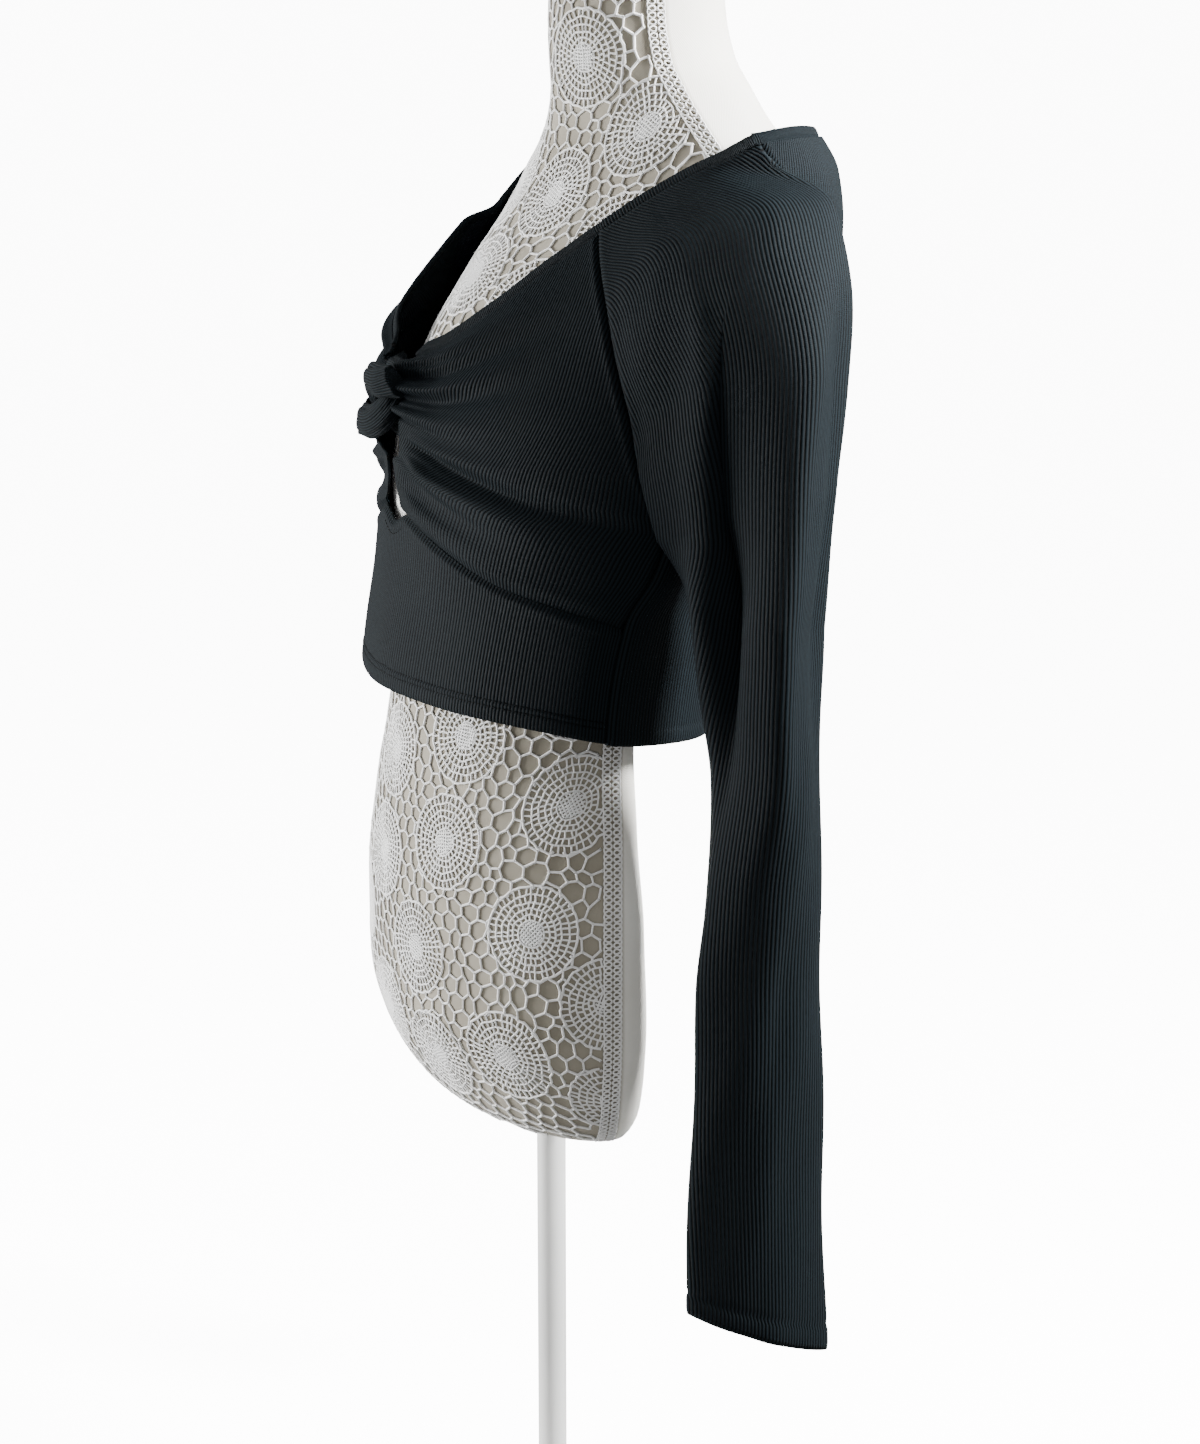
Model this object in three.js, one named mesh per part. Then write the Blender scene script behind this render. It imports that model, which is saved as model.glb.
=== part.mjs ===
// A long-sleeved crop top in fine rib knit, worn by a limbless dress form on a countertop stand.
// Millimetres, +Z up, the front faces -Y, the wearer's left is +X, and z = 0 is the stand's underside.
// The body of the top is a tube worked out from measured sections. Its panels lie between seams that
// run on that tube, and each raglan sleeve starts at its two seams and hangs down as a tube.
import * as THREE from "three";
import { mergeVertices } from "three/addons/utils/BufferGeometryUtils.js";

// Driving dimensions
const clothThickness = 1.6;
const seamGap = 0.5; // between the cut edges of two panels, along their surface
const underarmHeight = 698;
const shoulderHeight = 909;
const cuffHeight = 232;
const neckBandWidth = 8;
const neckBandThickness = 2.2;
const knotHeight = 760;
const formUnderside = 328;
const standPoleRadius = 9;
const standBaseRadius = 140;
const standBaseThickness = 5;
const contactGap = 0.3;

// Half of the top's body, section by section: front and back on the centre line, quarter points, side
const bodySections = [
  { height: 560, front: -104, quarterX: 97, quarterY: -78, half: 139, side: -8, rearX: 98, rearY: 66, back: 97 },
  { height: 605, front: -100, quarterX: 99, quarterY: -73, half: 142, side: -5, rearX: 101, rearY: 72, back: 103 },
  { height: 650, front: -92, quarterX: 102, quarterY: -66, half: 146, side: 3, rearX: 103, rearY: 81, back: 113 },
  { height: 675, front: -89, quarterX: 104, quarterY: -62, half: 148, side: 18, rearX: 105, rearY: 89, back: 120 },
  { height: 700, front: -88, quarterX: 106, quarterY: -57, half: 150, side: 27, rearX: 106, rearY: 98, back: 128 },
  { height: 755, front: -91, quarterX: 106, quarterY: -46, half: 152, side: 41, rearX: 108, rearY: 117, back: 143 },
  { height: 809, front: -76, quarterX: 92, quarterY: -25, half: 150, side: 56, rearX: 109, rearY: 135, back: 156 },
  { height: 864, front: -30, quarterX: 92, quarterY: 8, half: 146, side: 72, rearX: 106, rearY: 146, back: 164 },
  { height: 890, front: -14, quarterX: 101, quarterY: 24, half: 142, side: 79, rearX: 102, rearY: 144, back: 161 },
  { height: 914, front: -3, quarterX: 108, quarterY: 38, half: 136, side: 84, rearX: 94, rearY: 134, back: 152 },
];

// Seams on the body: share is the way round it, 0 at the front centre, 0.5 at the side, 1 at the back
const frontNeckSeam = [
  { share: 0.055, height: 786 },
  { share: 0.105, height: 795 },
  { share: 0.165, height: 817 },
  { share: 0.212, height: 842 },
  { share: 0.253, height: 859 },
];
const frontRaglanSeam = [
  { share: 0.253, height: 859 },
  { share: 0.328, height: 818 },
  { share: 0.388, height: 770 },
  { share: 0.436, height: 730 },
  { share: 0.5, height: underarmHeight },
];
const backRaglanSeam = [
  { share: 0.5, height: shoulderHeight },
  { share: 0.585, height: 880 },
  { share: 0.622, height: 820 },
  { share: 0.58, height: 755 },
  { share: 0.5, height: underarmHeight },
];
const backNeckSeam = [
  { share: 0.5, height: shoulderHeight },
  { share: 0.625, height: 911 },
  { share: 0.75, height: 909 },
  { share: 0.875, height: 903 },
  { share: 1, height: 898 },
];
const underbustSeam = [
  { share: 0.045, height: 695.5 },
  { share: 0.127, height: 685 },
  { share: 0.25, height: 670 },
  { share: 0.37, height: 659 },
  { share: 0.5, height: 647 },
];
const bustNearEdge = [
  { across: 0, share: 0.055, height: 786 },
  { across: 0.3, share: 0.056, height: 762 },
  { across: 0.58, share: 0.056, height: 740 },
  { across: 0.7, share: 0.036, height: 730 },
  { across: 0.78, share: 0.014, height: 726 },
  { across: 0.86, share: 0.016, height: 716 },
  { across: 0.93, share: 0.028, height: 704 },
  { across: 1, share: 0.045, height: 695.5 },
];
const keyholeBottom = { height: 689.5, halfShare: 0.045 };
const hemLine = [
  { share: 0, height: 594 },
  { share: 0.13, height: 594.5 },
  { share: 0.25, height: 593.5 },
  { share: 0.36, height: 590 },
  { share: 0.5, height: 581.5 },
  { share: 0.6, height: 577 },
  { share: 0.76, height: 571 },
  { share: 1, height: 568 },
];

// The neckline where it crosses the top of the sleeve, between the two raglan seams
const sleeveNeckPoints = [
  { x: 109, y: 30, z: 878 },
  { x: 123, y: 53, z: 893 },
  { x: 132, y: 68, z: 901 },
];

// Rows of the sleeve between the raglan seams, at a share of the way down them
const sleeveCapRows = [
  { share: 0.25, frontX: 136, frontY: 29, frontZ: 853, topX: 160, topY: 76, topZ: 876, rearX: 153, rearY: 119, rearZ: 876 },
  { share: 0.5, frontX: 152, frontY: 22, frontZ: 808, topX: 189, topY: 72, topZ: 838, rearX: 175, rearY: 121, rearZ: 834 },
  { share: 0.75, frontX: 165, frontY: 24, frontZ: 756, topX: 205, topY: 70, topZ: 784, rearX: 184, rearY: 115, rearZ: 781 },
  { share: 1, frontX: 174, frontY: 31, frontZ: 703, topX: 211, topY: 68, topZ: 722, rearX: 188, rearY: 108, rearZ: 722 },
];

// Sections of the hanging sleeve, from under the arm to the cuff; drop lowers the cuff at the back
const sleeveTubeRows = [
  { height: 655, x: 184, y: 66, halfX: 31, halfY: 38, drop: 6 },
  { height: 617, x: 185, y: 68, halfX: 30, halfY: 35, drop: 3 },
  { height: 563, x: 185, y: 72, halfX: 28, halfY: 31, drop: 2 },
  { height: 491, x: 185, y: 71, halfX: 25, halfY: 33, drop: 2 },
  { height: 440, x: 184, y: 70, halfX: 22, halfY: 36, drop: 4 },
  { height: 350, x: 184, y: 70, halfX: 18, halfY: 39, drop: 8 },
  { height: 280, x: 184, y: 70, halfX: 16, halfY: 41, drop: 13 },
  { height: cuffHeight, x: 184, y: 71, halfX: 15, halfY: 43, drop: 18 },
];

// Gathers that run out of the knot over each bust panel: where they start across its near edge, how far
// they drift across on their way, and how deep, wide and long they are
const cupGathers = [
  { across: 0.06, drift: 0.02, depth: 2.6, width: 0.035, reach: 0.9 },
  { across: 0.14, drift: 0.04, depth: -3.6, width: 0.035, reach: 0.62 },
  { across: 0.21, drift: 0.05, depth: 3, width: 0.035, reach: 0.5 },
  { across: 0.29, drift: 0.05, depth: -4, width: 0.035, reach: 0.42 },
  { across: 0.37, drift: 0.08, depth: 3.4, width: 0.045, reach: 0.55 },
  { across: 0.47, drift: 0.04, depth: -1.8, width: 0.035, reach: 0.25 },
  { across: 0.55, drift: 0.04, depth: 2.2, width: 0.04, reach: 0.4 },
  { across: 0.64, drift: 0.12, depth: -6.5, width: 0.05, reach: 1.25 },
  { across: 0.74, drift: 0.14, depth: 3.6, width: 0.05, reach: 0.95 },
  { across: 0.83, drift: 0.06, depth: -3, width: 0.035, reach: 0.7 },
  { across: 0.91, drift: 0.04, depth: 1.8, width: 0.035, reach: 0.6 },
];

// Long soft folds of the sleeve: around is the way round from the front seam, heights are its ends
const sleeveFolds = [
  { around: 0.485, turn: -0.235, top: 862, bottom: 530, depth: -13, width: 0.055 },
  { around: 0.37, turn: -0.1, top: 860, bottom: 590, depth: 3.5, width: 0.075 },
  { around: 0.57, turn: -0.14, top: 870, bottom: 480, depth: 5, width: 0.055 },
  { around: 0.69, turn: -0.04, top: 850, bottom: 520, depth: -5, width: 0.055 },
  { around: 0.5, turn: 0.04, top: 560, bottom: 300, depth: -3, width: 0.07 },
];

// How far the face of the neckband leans back from upright, on its way from the knot to the centre back
const neckBandTilts = [
  { at: 0, tilt: 12 },
  { at: 0.2, tilt: 34 },
  { at: 0.42, tilt: 42 },
  { at: 0.55, tilt: 40 },
  { at: 0.7, tilt: 30 },
  { at: 1, tilt: 22 },
];

// The dress form, section by section; round and roundBack are the powers of its
// curves in front and behind, 2 for an ellipse
const formSections = [
  { height: formUnderside, half: 104, front: -30, side: 8, back: 36, round: 2, roundBack: 2 },
  { height: 334, half: 119, front: -56, side: 6, back: 40, round: 2, roundBack: 2 },
  { height: 350, half: 133, front: -76, side: 4, back: 43, round: 2.1, roundBack: 2.1 },
  { height: 377, half: 143, front: -90, side: 2, back: 44, round: 2.1, roundBack: 2.1 },
  { height: 405, half: 148, front: -97, side: 1, back: 44, round: 2.1, roundBack: 2.1 },
  { height: 460, half: 148, front: -99, side: 1, back: 43, round: 2, roundBack: 2 },
  { height: 520, half: 137, front: -94, side: 5, back: 38, round: 2, roundBack: 2 },
  { height: 565, half: 124, front: -87, side: 9, back: 38, round: 2, roundBack: 2 },
  { height: 610, half: 120, front: -81, side: 14, back: 46, round: 2, roundBack: 2 },
  { height: 660, half: 126, front: -76, side: 22, back: 62, round: 2, roundBack: 2 },
  { height: 710, half: 132, front: -76, side: 32, back: 84, round: 1.9, roundBack: 2 },
  { height: 755, half: 136, front: -72, side: 42, back: 108, round: 1.8, roundBack: 2 },
  { height: 790, half: 137, front: -62, side: 50, back: 130, round: 1.7, roundBack: 2 },
  { height: 830, half: 138, front: -37, side: 60, back: 147, round: 1.65, roundBack: 2 },
  { height: 864, half: 137, front: -12, side: 70, back: 155, round: 1.6, roundBack: 2 },
  { height: 885, half: 135, front: 1, side: 72, back: 153, round: 1.57, roundBack: 2 },
  { height: 902, half: 122, front: 8, side: 70, back: 146, round: 1.46, roundBack: 2 },
  { height: 918, half: 100, front: 11, side: 67, back: 136, round: 1.41, roundBack: 2 },
  { height: 935, half: 76, front: 12, side: 65, back: 129, round: 1.5, roundBack: 2 },
  { height: 952, half: 61, front: 12, side: 62, back: 121, round: 1.8, roundBack: 2 },
  { height: 975, half: 54, front: 12, side: 61, back: 116, round: 2, roundBack: 2 },
  { height: 1000, half: 52, front: 13, side: 61, back: 114, round: 2, roundBack: 2 },
];

// Knot: two rolls of gathered cloth, each bent into a U, linked through each other
const knot = { rollRadius: 9.2, bendRadius: 19.4, depthScale: 0.66, centreY: -89.5, legEnd: 22.6, lobes: 5, lobeDepth: 0.8 };

// Where each bust panel rises to meet the roll of the knot that passes in front
const frontRoll = { left: 0.15, right: 0.5, rise: 8, width: 0.15, reach: 0.3 };

const smooth = (t) => t * t * (3 - 2 * t);
const clamp = (t, low, high) => Math.min(high, Math.max(low, t));
const mix = (a, b, t) => a + (b - a) * t;

// Every named column of a table at a key value, on smooth curves that don't overshoot between rows
function columnsAt(rows, key, value) {
  const last = rows.length - 1;
  const rising = rows[last][key] > rows[0][key];
  let i = 0;
  while (i < last - 1 && (rising ? value > rows[i + 1][key] : value < rows[i + 1][key])) i++;
  const step = (k) => rows[k + 1][key] - rows[k][key];
  const t = clamp((value - rows[i][key]) / step(i), 0, 1);
  const found = {};
  for (const name of Object.keys(rows[0])) {
    const slope = (k) => (rows[k + 1][name] - rows[k][name]) / step(k);
    const tangent = (k) => {
      if (k === 0) return slope(0);
      if (k === last) return slope(last - 1);
      const before = slope(k - 1);
      const after = slope(k);
      return before * after <= 0 ? 0 : (2 * before * after) / (before + after);
    };
    const a = rows[i][name];
    const b = rows[i + 1][name];
    const ta = tangent(i) * step(i);
    const tb = tangent(i + 1) * step(i);
    const t2 = t * t;
    const t3 = t2 * t;
    found[name] = (2 * t3 - 3 * t2 + 1) * a + (t3 - 2 * t2 + t) * ta + (3 * t2 - 2 * t3) * b + (t3 - t2) * tb;
  }
  return found;
}

// A point on a smooth open curve through evenly counted points, t from 0 to 1
function alongPoints(points, t) {
  const spans = points.length - 1;
  const i = Math.min(spans - 1, Math.floor(t * spans));
  const f = t * spans - i;
  const before = points[i - 1] ?? points[i].clone().multiplyScalar(2).sub(points[i + 1]);
  const after = points[i + 2] ?? points[i + 1].clone().multiplyScalar(2).sub(points[i]);
  const blend = (a, b, c, d) =>
    0.5 * (2 * b + (c - a) * f + (2 * a - 5 * b + 4 * c - d) * f * f + (3 * b - a - 3 * c + d) * f * f * f);
  return new THREE.Vector3(
    blend(before.x, points[i].x, points[i + 1].x, after.x),
    blend(before.y, points[i].y, points[i + 1].y, after.y),
    blend(before.z, points[i].z, points[i + 1].z, after.z),
  );
}

// A point on the top's body, share of the way round its left half at a height
function onBody(share, height) {
  const s = columnsAt(bodySections, "height", height);
  const loop = [
    new THREE.Vector3(-s.quarterX, s.quarterY, height),
    new THREE.Vector3(0, s.front, height),
    new THREE.Vector3(s.quarterX, s.quarterY, height),
    new THREE.Vector3(s.half, s.side, height),
    new THREE.Vector3(s.rearX, s.rearY, height),
    new THREE.Vector3(0, s.back, height),
    new THREE.Vector3(-s.rearX, s.rearY, height),
  ];
  return alongPoints(loop, (1 + 4 * share) / 6);
}

// A place on a seam, t from 0 at its first row to 1 at its last
function onSeam(seam, t) {
  const rows = seam.map((row, i) => ({ at: i / (seam.length - 1), ...row }));
  const found = columnsAt(rows, "at", t);
  return { share: found.share, height: found.height };
}

// A smooth grid of points, columns + 1 by rows + 1, made by place(u, v), as a list of corner points
function gridFaces(columns, rows, place) {
  const points = [];
  for (let j = 0; j <= rows; j++) for (let i = 0; i <= columns; i++) points.push(place(i / columns, j / rows));
  const faces = [];
  const at = (i, j) => j * (columns + 1) + i;
  for (let j = 0; j < rows; j++) {
    for (let i = 0; i < columns; i++) {
      faces.push([at(i, j), at(i + 1, j), at(i + 1, j + 1)], [at(i, j), at(i + 1, j + 1), at(i, j + 1)]);
    }
  }
  return { points, faces };
}

// A surface with points that coincide made one, and triangles of no area left out
function weld({ points, faces }) {
  const seen = new Map();
  const kept = [];
  const index = points.map((p) => {
    const key = [p.x, p.y, p.z].map((c) => Math.round(c * 200)).join();
    if (!seen.has(key)) {
      seen.set(key, kept.length);
      kept.push(p);
    }
    return seen.get(key);
  });
  const whole = faces.map((f) => f.map((i) => index[i])).filter(([a, b, c]) => a !== b && b !== c && a !== c);
  return { points: kept, faces: whole };
}

// A closed wall from a surface: its outer points, the same points moved inwards, and its edges
function wallOf(surface, thickness) {
  const { points, faces } = weld(surface);
  const normals = points.map(() => new THREE.Vector3());
  for (const [a, b, c] of faces) {
    const across = points[b].clone().sub(points[a]);
    const face = across.cross(points[c].clone().sub(points[a]));
    for (const i of [a, b, c]) normals[i].add(face);
  }
  const inner = points.map((p, i) => p.clone().addScaledVector(normals[i].normalize(), -thickness));
  const triangles = faces.map((f) => f.map((i) => points[i]));
  for (const [a, b, c] of faces) triangles.push([inner[a], inner[c], inner[b]]);
  const edges = new Set(faces.flatMap(([a, b, c]) => [`${a},${b}`, `${b},${c}`, `${c},${a}`]));
  for (const edge of edges) {
    const [a, b] = edge.split(",").map(Number);
    if (edges.has(`${b},${a}`)) continue;
    triangles.push([points[b], points[a], inner[a]], [points[b], inner[a], inner[b]]);
  }
  return geometryOf(triangles);
}

function geometryOf(triangles) {
  const numbers = triangles.flatMap((t) => t.flatMap((p) => [p.x, p.y, p.z]));
  const geometry = new THREE.BufferGeometry();
  geometry.setAttribute("position", new THREE.Float32BufferAttribute(numbers, 3));
  const welded = mergeVertices(geometry, 1e-4);
  welded.computeVertexNormals();
  return welded;
}

// A closed solid from rings of equal count, with flat ends
function loftOf(rings) {
  const triangles = [];
  const count = rings[0].length;
  for (let j = 0; j + 1 < rings.length; j++) {
    for (let i = 0; i < count; i++) {
      const k = (i + 1) % count;
      triangles.push([rings[j][i], rings[j][k], rings[j + 1][k]], [rings[j][i], rings[j + 1][k], rings[j + 1][i]]);
    }
  }
  for (const [ring, turned] of [[rings[0], true], [rings[rings.length - 1], false]]) {
    const middle = ring.reduce((sum, p) => sum.add(p), new THREE.Vector3()).divideScalar(count);
    for (let i = 0; i < count; i++) {
      const k = (i + 1) % count;
      triangles.push(turned ? [middle, ring[k], ring[i]] : [middle, ring[i], ring[k]]);
    }
  }
  return geometryOf(triangles);
}

const mirrored = (place) => (u, v) => {
  const p = place(1 - u, v);
  return new THREE.Vector3(-p.x, p.y, p.z);
};

// The bust panel: u runs from the knot and keyhole to the raglan and side seams, v from neck to underbust
function cupPlace(u, v, rollAcross) {
  const a = mix(0.004, 0.997, Math.pow(u, 1.3));
  const b = mix(0.004, 0.995, v);
  const top = onSeam(frontNeckSeam, a);
  const bottom = onSeam(underbustSeam, a);
  const near = columnsAt(bustNearEdge, "across", b);
  const sideShare = 0.74;
  const far =
    b < sideShare
      ? onSeam(frontRaglanSeam, b / sideShare)
      : { share: 0.5, height: mix(underarmHeight, underbustSeam[4].height, (b - sideShare) / (1 - sideShare)) };
  const coons = (k) =>
    mix(top[k], bottom[k], b) + mix(near[k], far[k], a) -
    mix(mix(frontNeckSeam[0][k], frontNeckSeam[4][k], a), mix(underbustSeam[0][k], underbustSeam[4][k], a), b);
  const share = coons("share");
  const height = coons("height");
  const edges = clamp(b / 0.05, 0, 1) * clamp((1 - b) / 0.06, 0, 1);
  const roll = (b - rollAcross) / frontRoll.width;
  let rise = frontRoll.rise * Math.exp(-roll * roll) * smooth(clamp(1 - a / frontRoll.reach, 0, 1)) * edges;
  for (const g of cupGathers) {
    const side = (b - g.across - g.drift * a) / g.width;
    rise += g.depth * Math.exp(-side * side) * smooth(clamp(1 - a / g.reach, 0, 1)) * edges;
  }
  return onBody(share, height).addScaledVector(bodyNormal(share, height), rise);
}

function bodyNormal(share, height) {
  const step = 0.004;
  const along = onBody(share + step, height).sub(onBody(share - step, height));
  const up = onBody(share, height + 1).sub(onBody(share, height - 1));
  return along.cross(up).normalize();
}

// The band under the bust, whole across the front, from the hem to the underbust seam
function midriffPlace(u, v) {
  const side = mix(-0.4975, 0.4975, u);
  const far = Math.abs(side);
  const centre = keyholeBottom.halfShare;
  const dip = far < centre ? mix(keyholeBottom.height, 695.5, smooth(far / centre)) : onSeamShare(underbustSeam, far);
  const top = dip - seamGap;
  const height = mix(hemAt(far), top, v);
  const p = onBody(far, height);
  return side < 0 ? new THREE.Vector3(-p.x, p.y, p.z) : p;
}

// Height of the hem, a little higher in front than at the back
const hemAt = (share) => columnsAt(hemLine, "share", share).height;

// Height of a seam where it crosses a share of the way round
function onSeamShare(seam, share) {
  return columnsAt(seam, "share", share).height;
}

function backPlace(u, v) {
  const topSeam = onSeam(backNeckSeam, u);
  const neckTop = { share: topSeam.share, height: topSeam.height };
  const low = { share: mix(0.5, 1, u), height: hemAt(mix(0.5, 1, u)) };
  const armShare = 0.62;
  const side =
    v > 1 - armShare
      ? onSeam(backRaglanSeam, (1 - v) / armShare)
      : { share: 0.5, height: mix(hemAt(0.5), underarmHeight, v / (1 - armShare)) };
  const centre = { share: 1, height: mix(hemAt(1), backNeckSeam[4].height, v) };
  const coons = (k, c) =>
    mix(low[k], neckTop[k], v) + mix(side[k], centre[k], u) - mix(mix(c[0], c[1], u), mix(c[2], c[3], u), v);
  return {
    share: coons("share", [0.5, 1, 0.5, 1]),
    height: coons("height", [hemAt(0.5), hemAt(1), shoulderHeight, backNeckSeam[4].height]),
  };
}

// The whole back, mirrored at the centre: u from the left side seam to the right one
function wholeBackPlace(u, v) {
  const half = u < 0.5 ? u * 2 : 2 - u * 2;
  const place = backPlace(mix(0.0045, 1, half), mix(0, 0.9988, v));
  const p = onBody(place.share, place.height);
  return u > 0.5 ? new THREE.Vector3(-p.x, p.y, p.z) : p;
}

// A row of the sleeve as its points from the front seam round the outside to the back seam
function capRow(t) {
  const inset = 0.004;
  const front = onSeam(frontRaglanSeam, t);
  const rear = onSeam(backRaglanSeam, t);
  const f = onBody(front.share + (1 - t) * inset, front.height + (1 - t) * 0.5);
  const r = onBody(rear.share - (1 - t) * inset, rear.height);
  const neckRow = {
    share: 0,
    frontX: sleeveNeckPoints[0].x, frontY: sleeveNeckPoints[0].y, frontZ: sleeveNeckPoints[0].z,
    topX: sleeveNeckPoints[1].x, topY: sleeveNeckPoints[1].y, topZ: sleeveNeckPoints[1].z,
    rearX: sleeveNeckPoints[2].x, rearY: sleeveNeckPoints[2].y, rearZ: sleeveNeckPoints[2].z,
  };
  const row = columnsAt([neckRow, ...sleeveCapRows], "share", t);
  return [
    f,
    new THREE.Vector3(row.frontX, row.frontY, row.frontZ),
    new THREE.Vector3(row.topX, row.topY, row.topZ),
    new THREE.Vector3(row.rearX, row.rearY, row.rearZ),
    r,
  ];
}

function tubeRow(height) {
  const row = columnsAt(sleeveTubeRows, "height", height);
  const level = (y) => height - (row.drop * (y - row.y)) / row.halfY;
  const point = (x, y) => new THREE.Vector3(x, y, level(y));
  const c = { x: row.x, y: row.y };
  const corner = 0.72;
  return [
    point(c.x - row.halfX, c.y - row.halfY * 0.1),
    point(c.x - row.halfX * corner * 0.1, c.y - row.halfY),
    point(c.x + row.halfX, c.y),
    point(c.x - row.halfX * corner * 0.1, c.y + row.halfY),
    point(c.x - row.halfX, c.y - row.halfY * 0.1),
  ];
}

// The sleeve: it goes round from the front seam, and v from the neck (0) past the underarm to the cuff (1).
// The grid's column at valleyColumn follows the deepest fold, so that its bottom stays sharp.
const capPart = 0.42;
const valleyColumn = 0.4;
function sleevePlace(across, v) {
  let row;
  let closed;
  if (v < capPart) {
    const t = v / capPart;
    row = capRow(t);
    closed = smooth(clamp((t - 0.55) / 0.45, 0, 1));
  } else {
    const t = (v - capPart) / (1 - capPart);
    const first = capRow(1);
    const meeting = 0.12;
    const height = mix(sleeveTubeRows[0].height, cuffHeight, clamp((t - meeting) / (1 - meeting), 0, 1));
    const tube = tubeRow(height);
    row = t < meeting ? first.map((p, i) => p.clone().lerp(tube[i], t / meeting)) : tube;
    closed = 1;
  }
  const valley = foldLine(sleeveFolds[0], (row[1].z + row[2].z) / 2);
  const u = across < valleyColumn ? (across / valleyColumn) * valley : mix(valley, 1, (across - valleyColumn) / (1 - valleyColumn));
  const ends = closedEnds(row, closed);
  const p = alongPoints([ends[0], ...row, ends[1]], (1 + 4 * u) / 6);
  const centre = row[0].clone().add(row[2]).multiplyScalar(0.5);
  const outward = p.clone().sub(centre).setZ(0).normalize();
  const nearEdge = smooth(clamp(Math.min(u, 1 - u) / 0.12, 0, 1)) * smooth(clamp(v / 0.1, 0, 1));
  return p.addScaledVector(outward, foldRise(u, p.z) * nearEdge);
}

// The points beyond a row's ends, so that a closed row turns smoothly at its seam
function closedEnds(row, closed) {
  const open = [row[0].clone().multiplyScalar(2).sub(row[1]), row[4].clone().multiplyScalar(2).sub(row[3])];
  return [open[0].lerp(row[3], closed), open[1].lerp(row[1], closed)];
}

// How far down a fold a height is, from 0 at its top to 1 at its bottom
const foldShare = (fold, height) => clamp((fold.top - height) / (fold.top - fold.bottom), 0, 1);
const foldLine = (fold, height) => fold.around + fold.turn * foldShare(fold, height);

function foldRise(u, height) {
  let rise = 0;
  for (const fold of sleeveFolds) {
    const down = foldShare(fold, height);
    const side = (u - foldLine(fold, height)) / fold.width;
    rise += fold.depth * Math.exp(-side * side) * Math.pow(Math.sin(Math.PI * down), 1.2);
  }
  return rise;
}

// The neckband's seam edge, all the way from the knot over the left shoulder to the centre back
const neckPartEnds = { front: 0.42, sleeve: 0.62 };
function onNeckline(t) {
  if (t < neckPartEnds.front) {
    const seam = onSeam(frontNeckSeam, t / neckPartEnds.front);
    return onBody(seam.share, seam.height);
  }
  if (t < neckPartEnds.sleeve) {
    const f = (t - neckPartEnds.front) / (neckPartEnds.sleeve - neckPartEnds.front);
    return sleevePlace(f, 0);
  }
  const seam = onSeam(backNeckSeam, (t - neckPartEnds.sleeve) / (1 - neckPartEnds.sleeve));
  return onBody(seam.share, seam.height);
}

// The neckband: u along it from the knot to the centre back, v from its seam edge to its free edge
function neckBandRing(t) {
  const step = 0.012;
  const here = onNeckline(t);
  const along = onNeckline(Math.min(1, t + step)).sub(onNeckline(Math.max(0, t - step))).normalize();
  const tilt = (Math.PI / 180) * columnsAt(neckBandTilts, "at", t).tilt;
  const flat = here.clone().sub(new THREE.Vector3(0, 66, here.z)).normalize();
  const outward = flat.multiplyScalar(Math.cos(tilt)).setZ(Math.sin(tilt));
  const across = new THREE.Vector3().crossVectors(outward, along).normalize();
  if (across.z < 0) across.negate();
  const out = new THREE.Vector3().crossVectors(along, across).normalize();
  if (out.dot(outward) < 0) out.negate();
  const half = neckBandThickness / 2;
  const start = here.clone().addScaledVector(across, seamGap + 0.5);
  const profile = [
    { rise: 0, depth: 0.4 },
    { rise: 0.3, depth: 1.1 },
    { rise: 0.8, depth: 1.1 },
    { rise: 1, depth: 0 },
    { rise: 0.8, depth: -1.1 },
    { rise: 0.3, depth: -1.1 },
    { rise: 0, depth: -1.1 },
  ];
  return profile.map((p) =>
    start.clone().addScaledVector(across, p.rise * neckBandWidth).addScaledVector(out, p.depth * half - half),
  );
}

function neckBand() {
  const steps = 38;
  const rings = [];
  for (let i = 0; i <= steps; i++) rings.push(neckBandRing(mix(0.015, 1, i / steps)));
  for (let i = steps - 1; i >= 0; i--) {
    rings.push(neckBandRing(mix(0.015, 1, i / steps)).map((p) => new THREE.Vector3(-p.x, p.y, p.z)));
  }
  return outwardLoft(rings);
}

// A loft that faces outwards whichever way its rings turn
function outwardLoft(rings) {
  const made = loftOf(rings);
  return signedVolume(made) > 0 ? made : loftOf(rings.map((ring) => ring.slice().reverse()));
}

function signedVolume(geometry) {
  const position = geometry.getAttribute("position");
  const order = geometry.index.array;
  const [a, b, c] = [new THREE.Vector3(), new THREE.Vector3(), new THREE.Vector3()];
  let volume = 0;
  for (let i = 0; i < order.length; i += 3) {
    a.fromBufferAttribute(position, order[i]);
    b.fromBufferAttribute(position, order[i + 1]);
    c.fromBufferAttribute(position, order[i + 2]);
    volume += a.dot(b.clone().cross(c)) / 6;
  }
  return volume;
}

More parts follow.
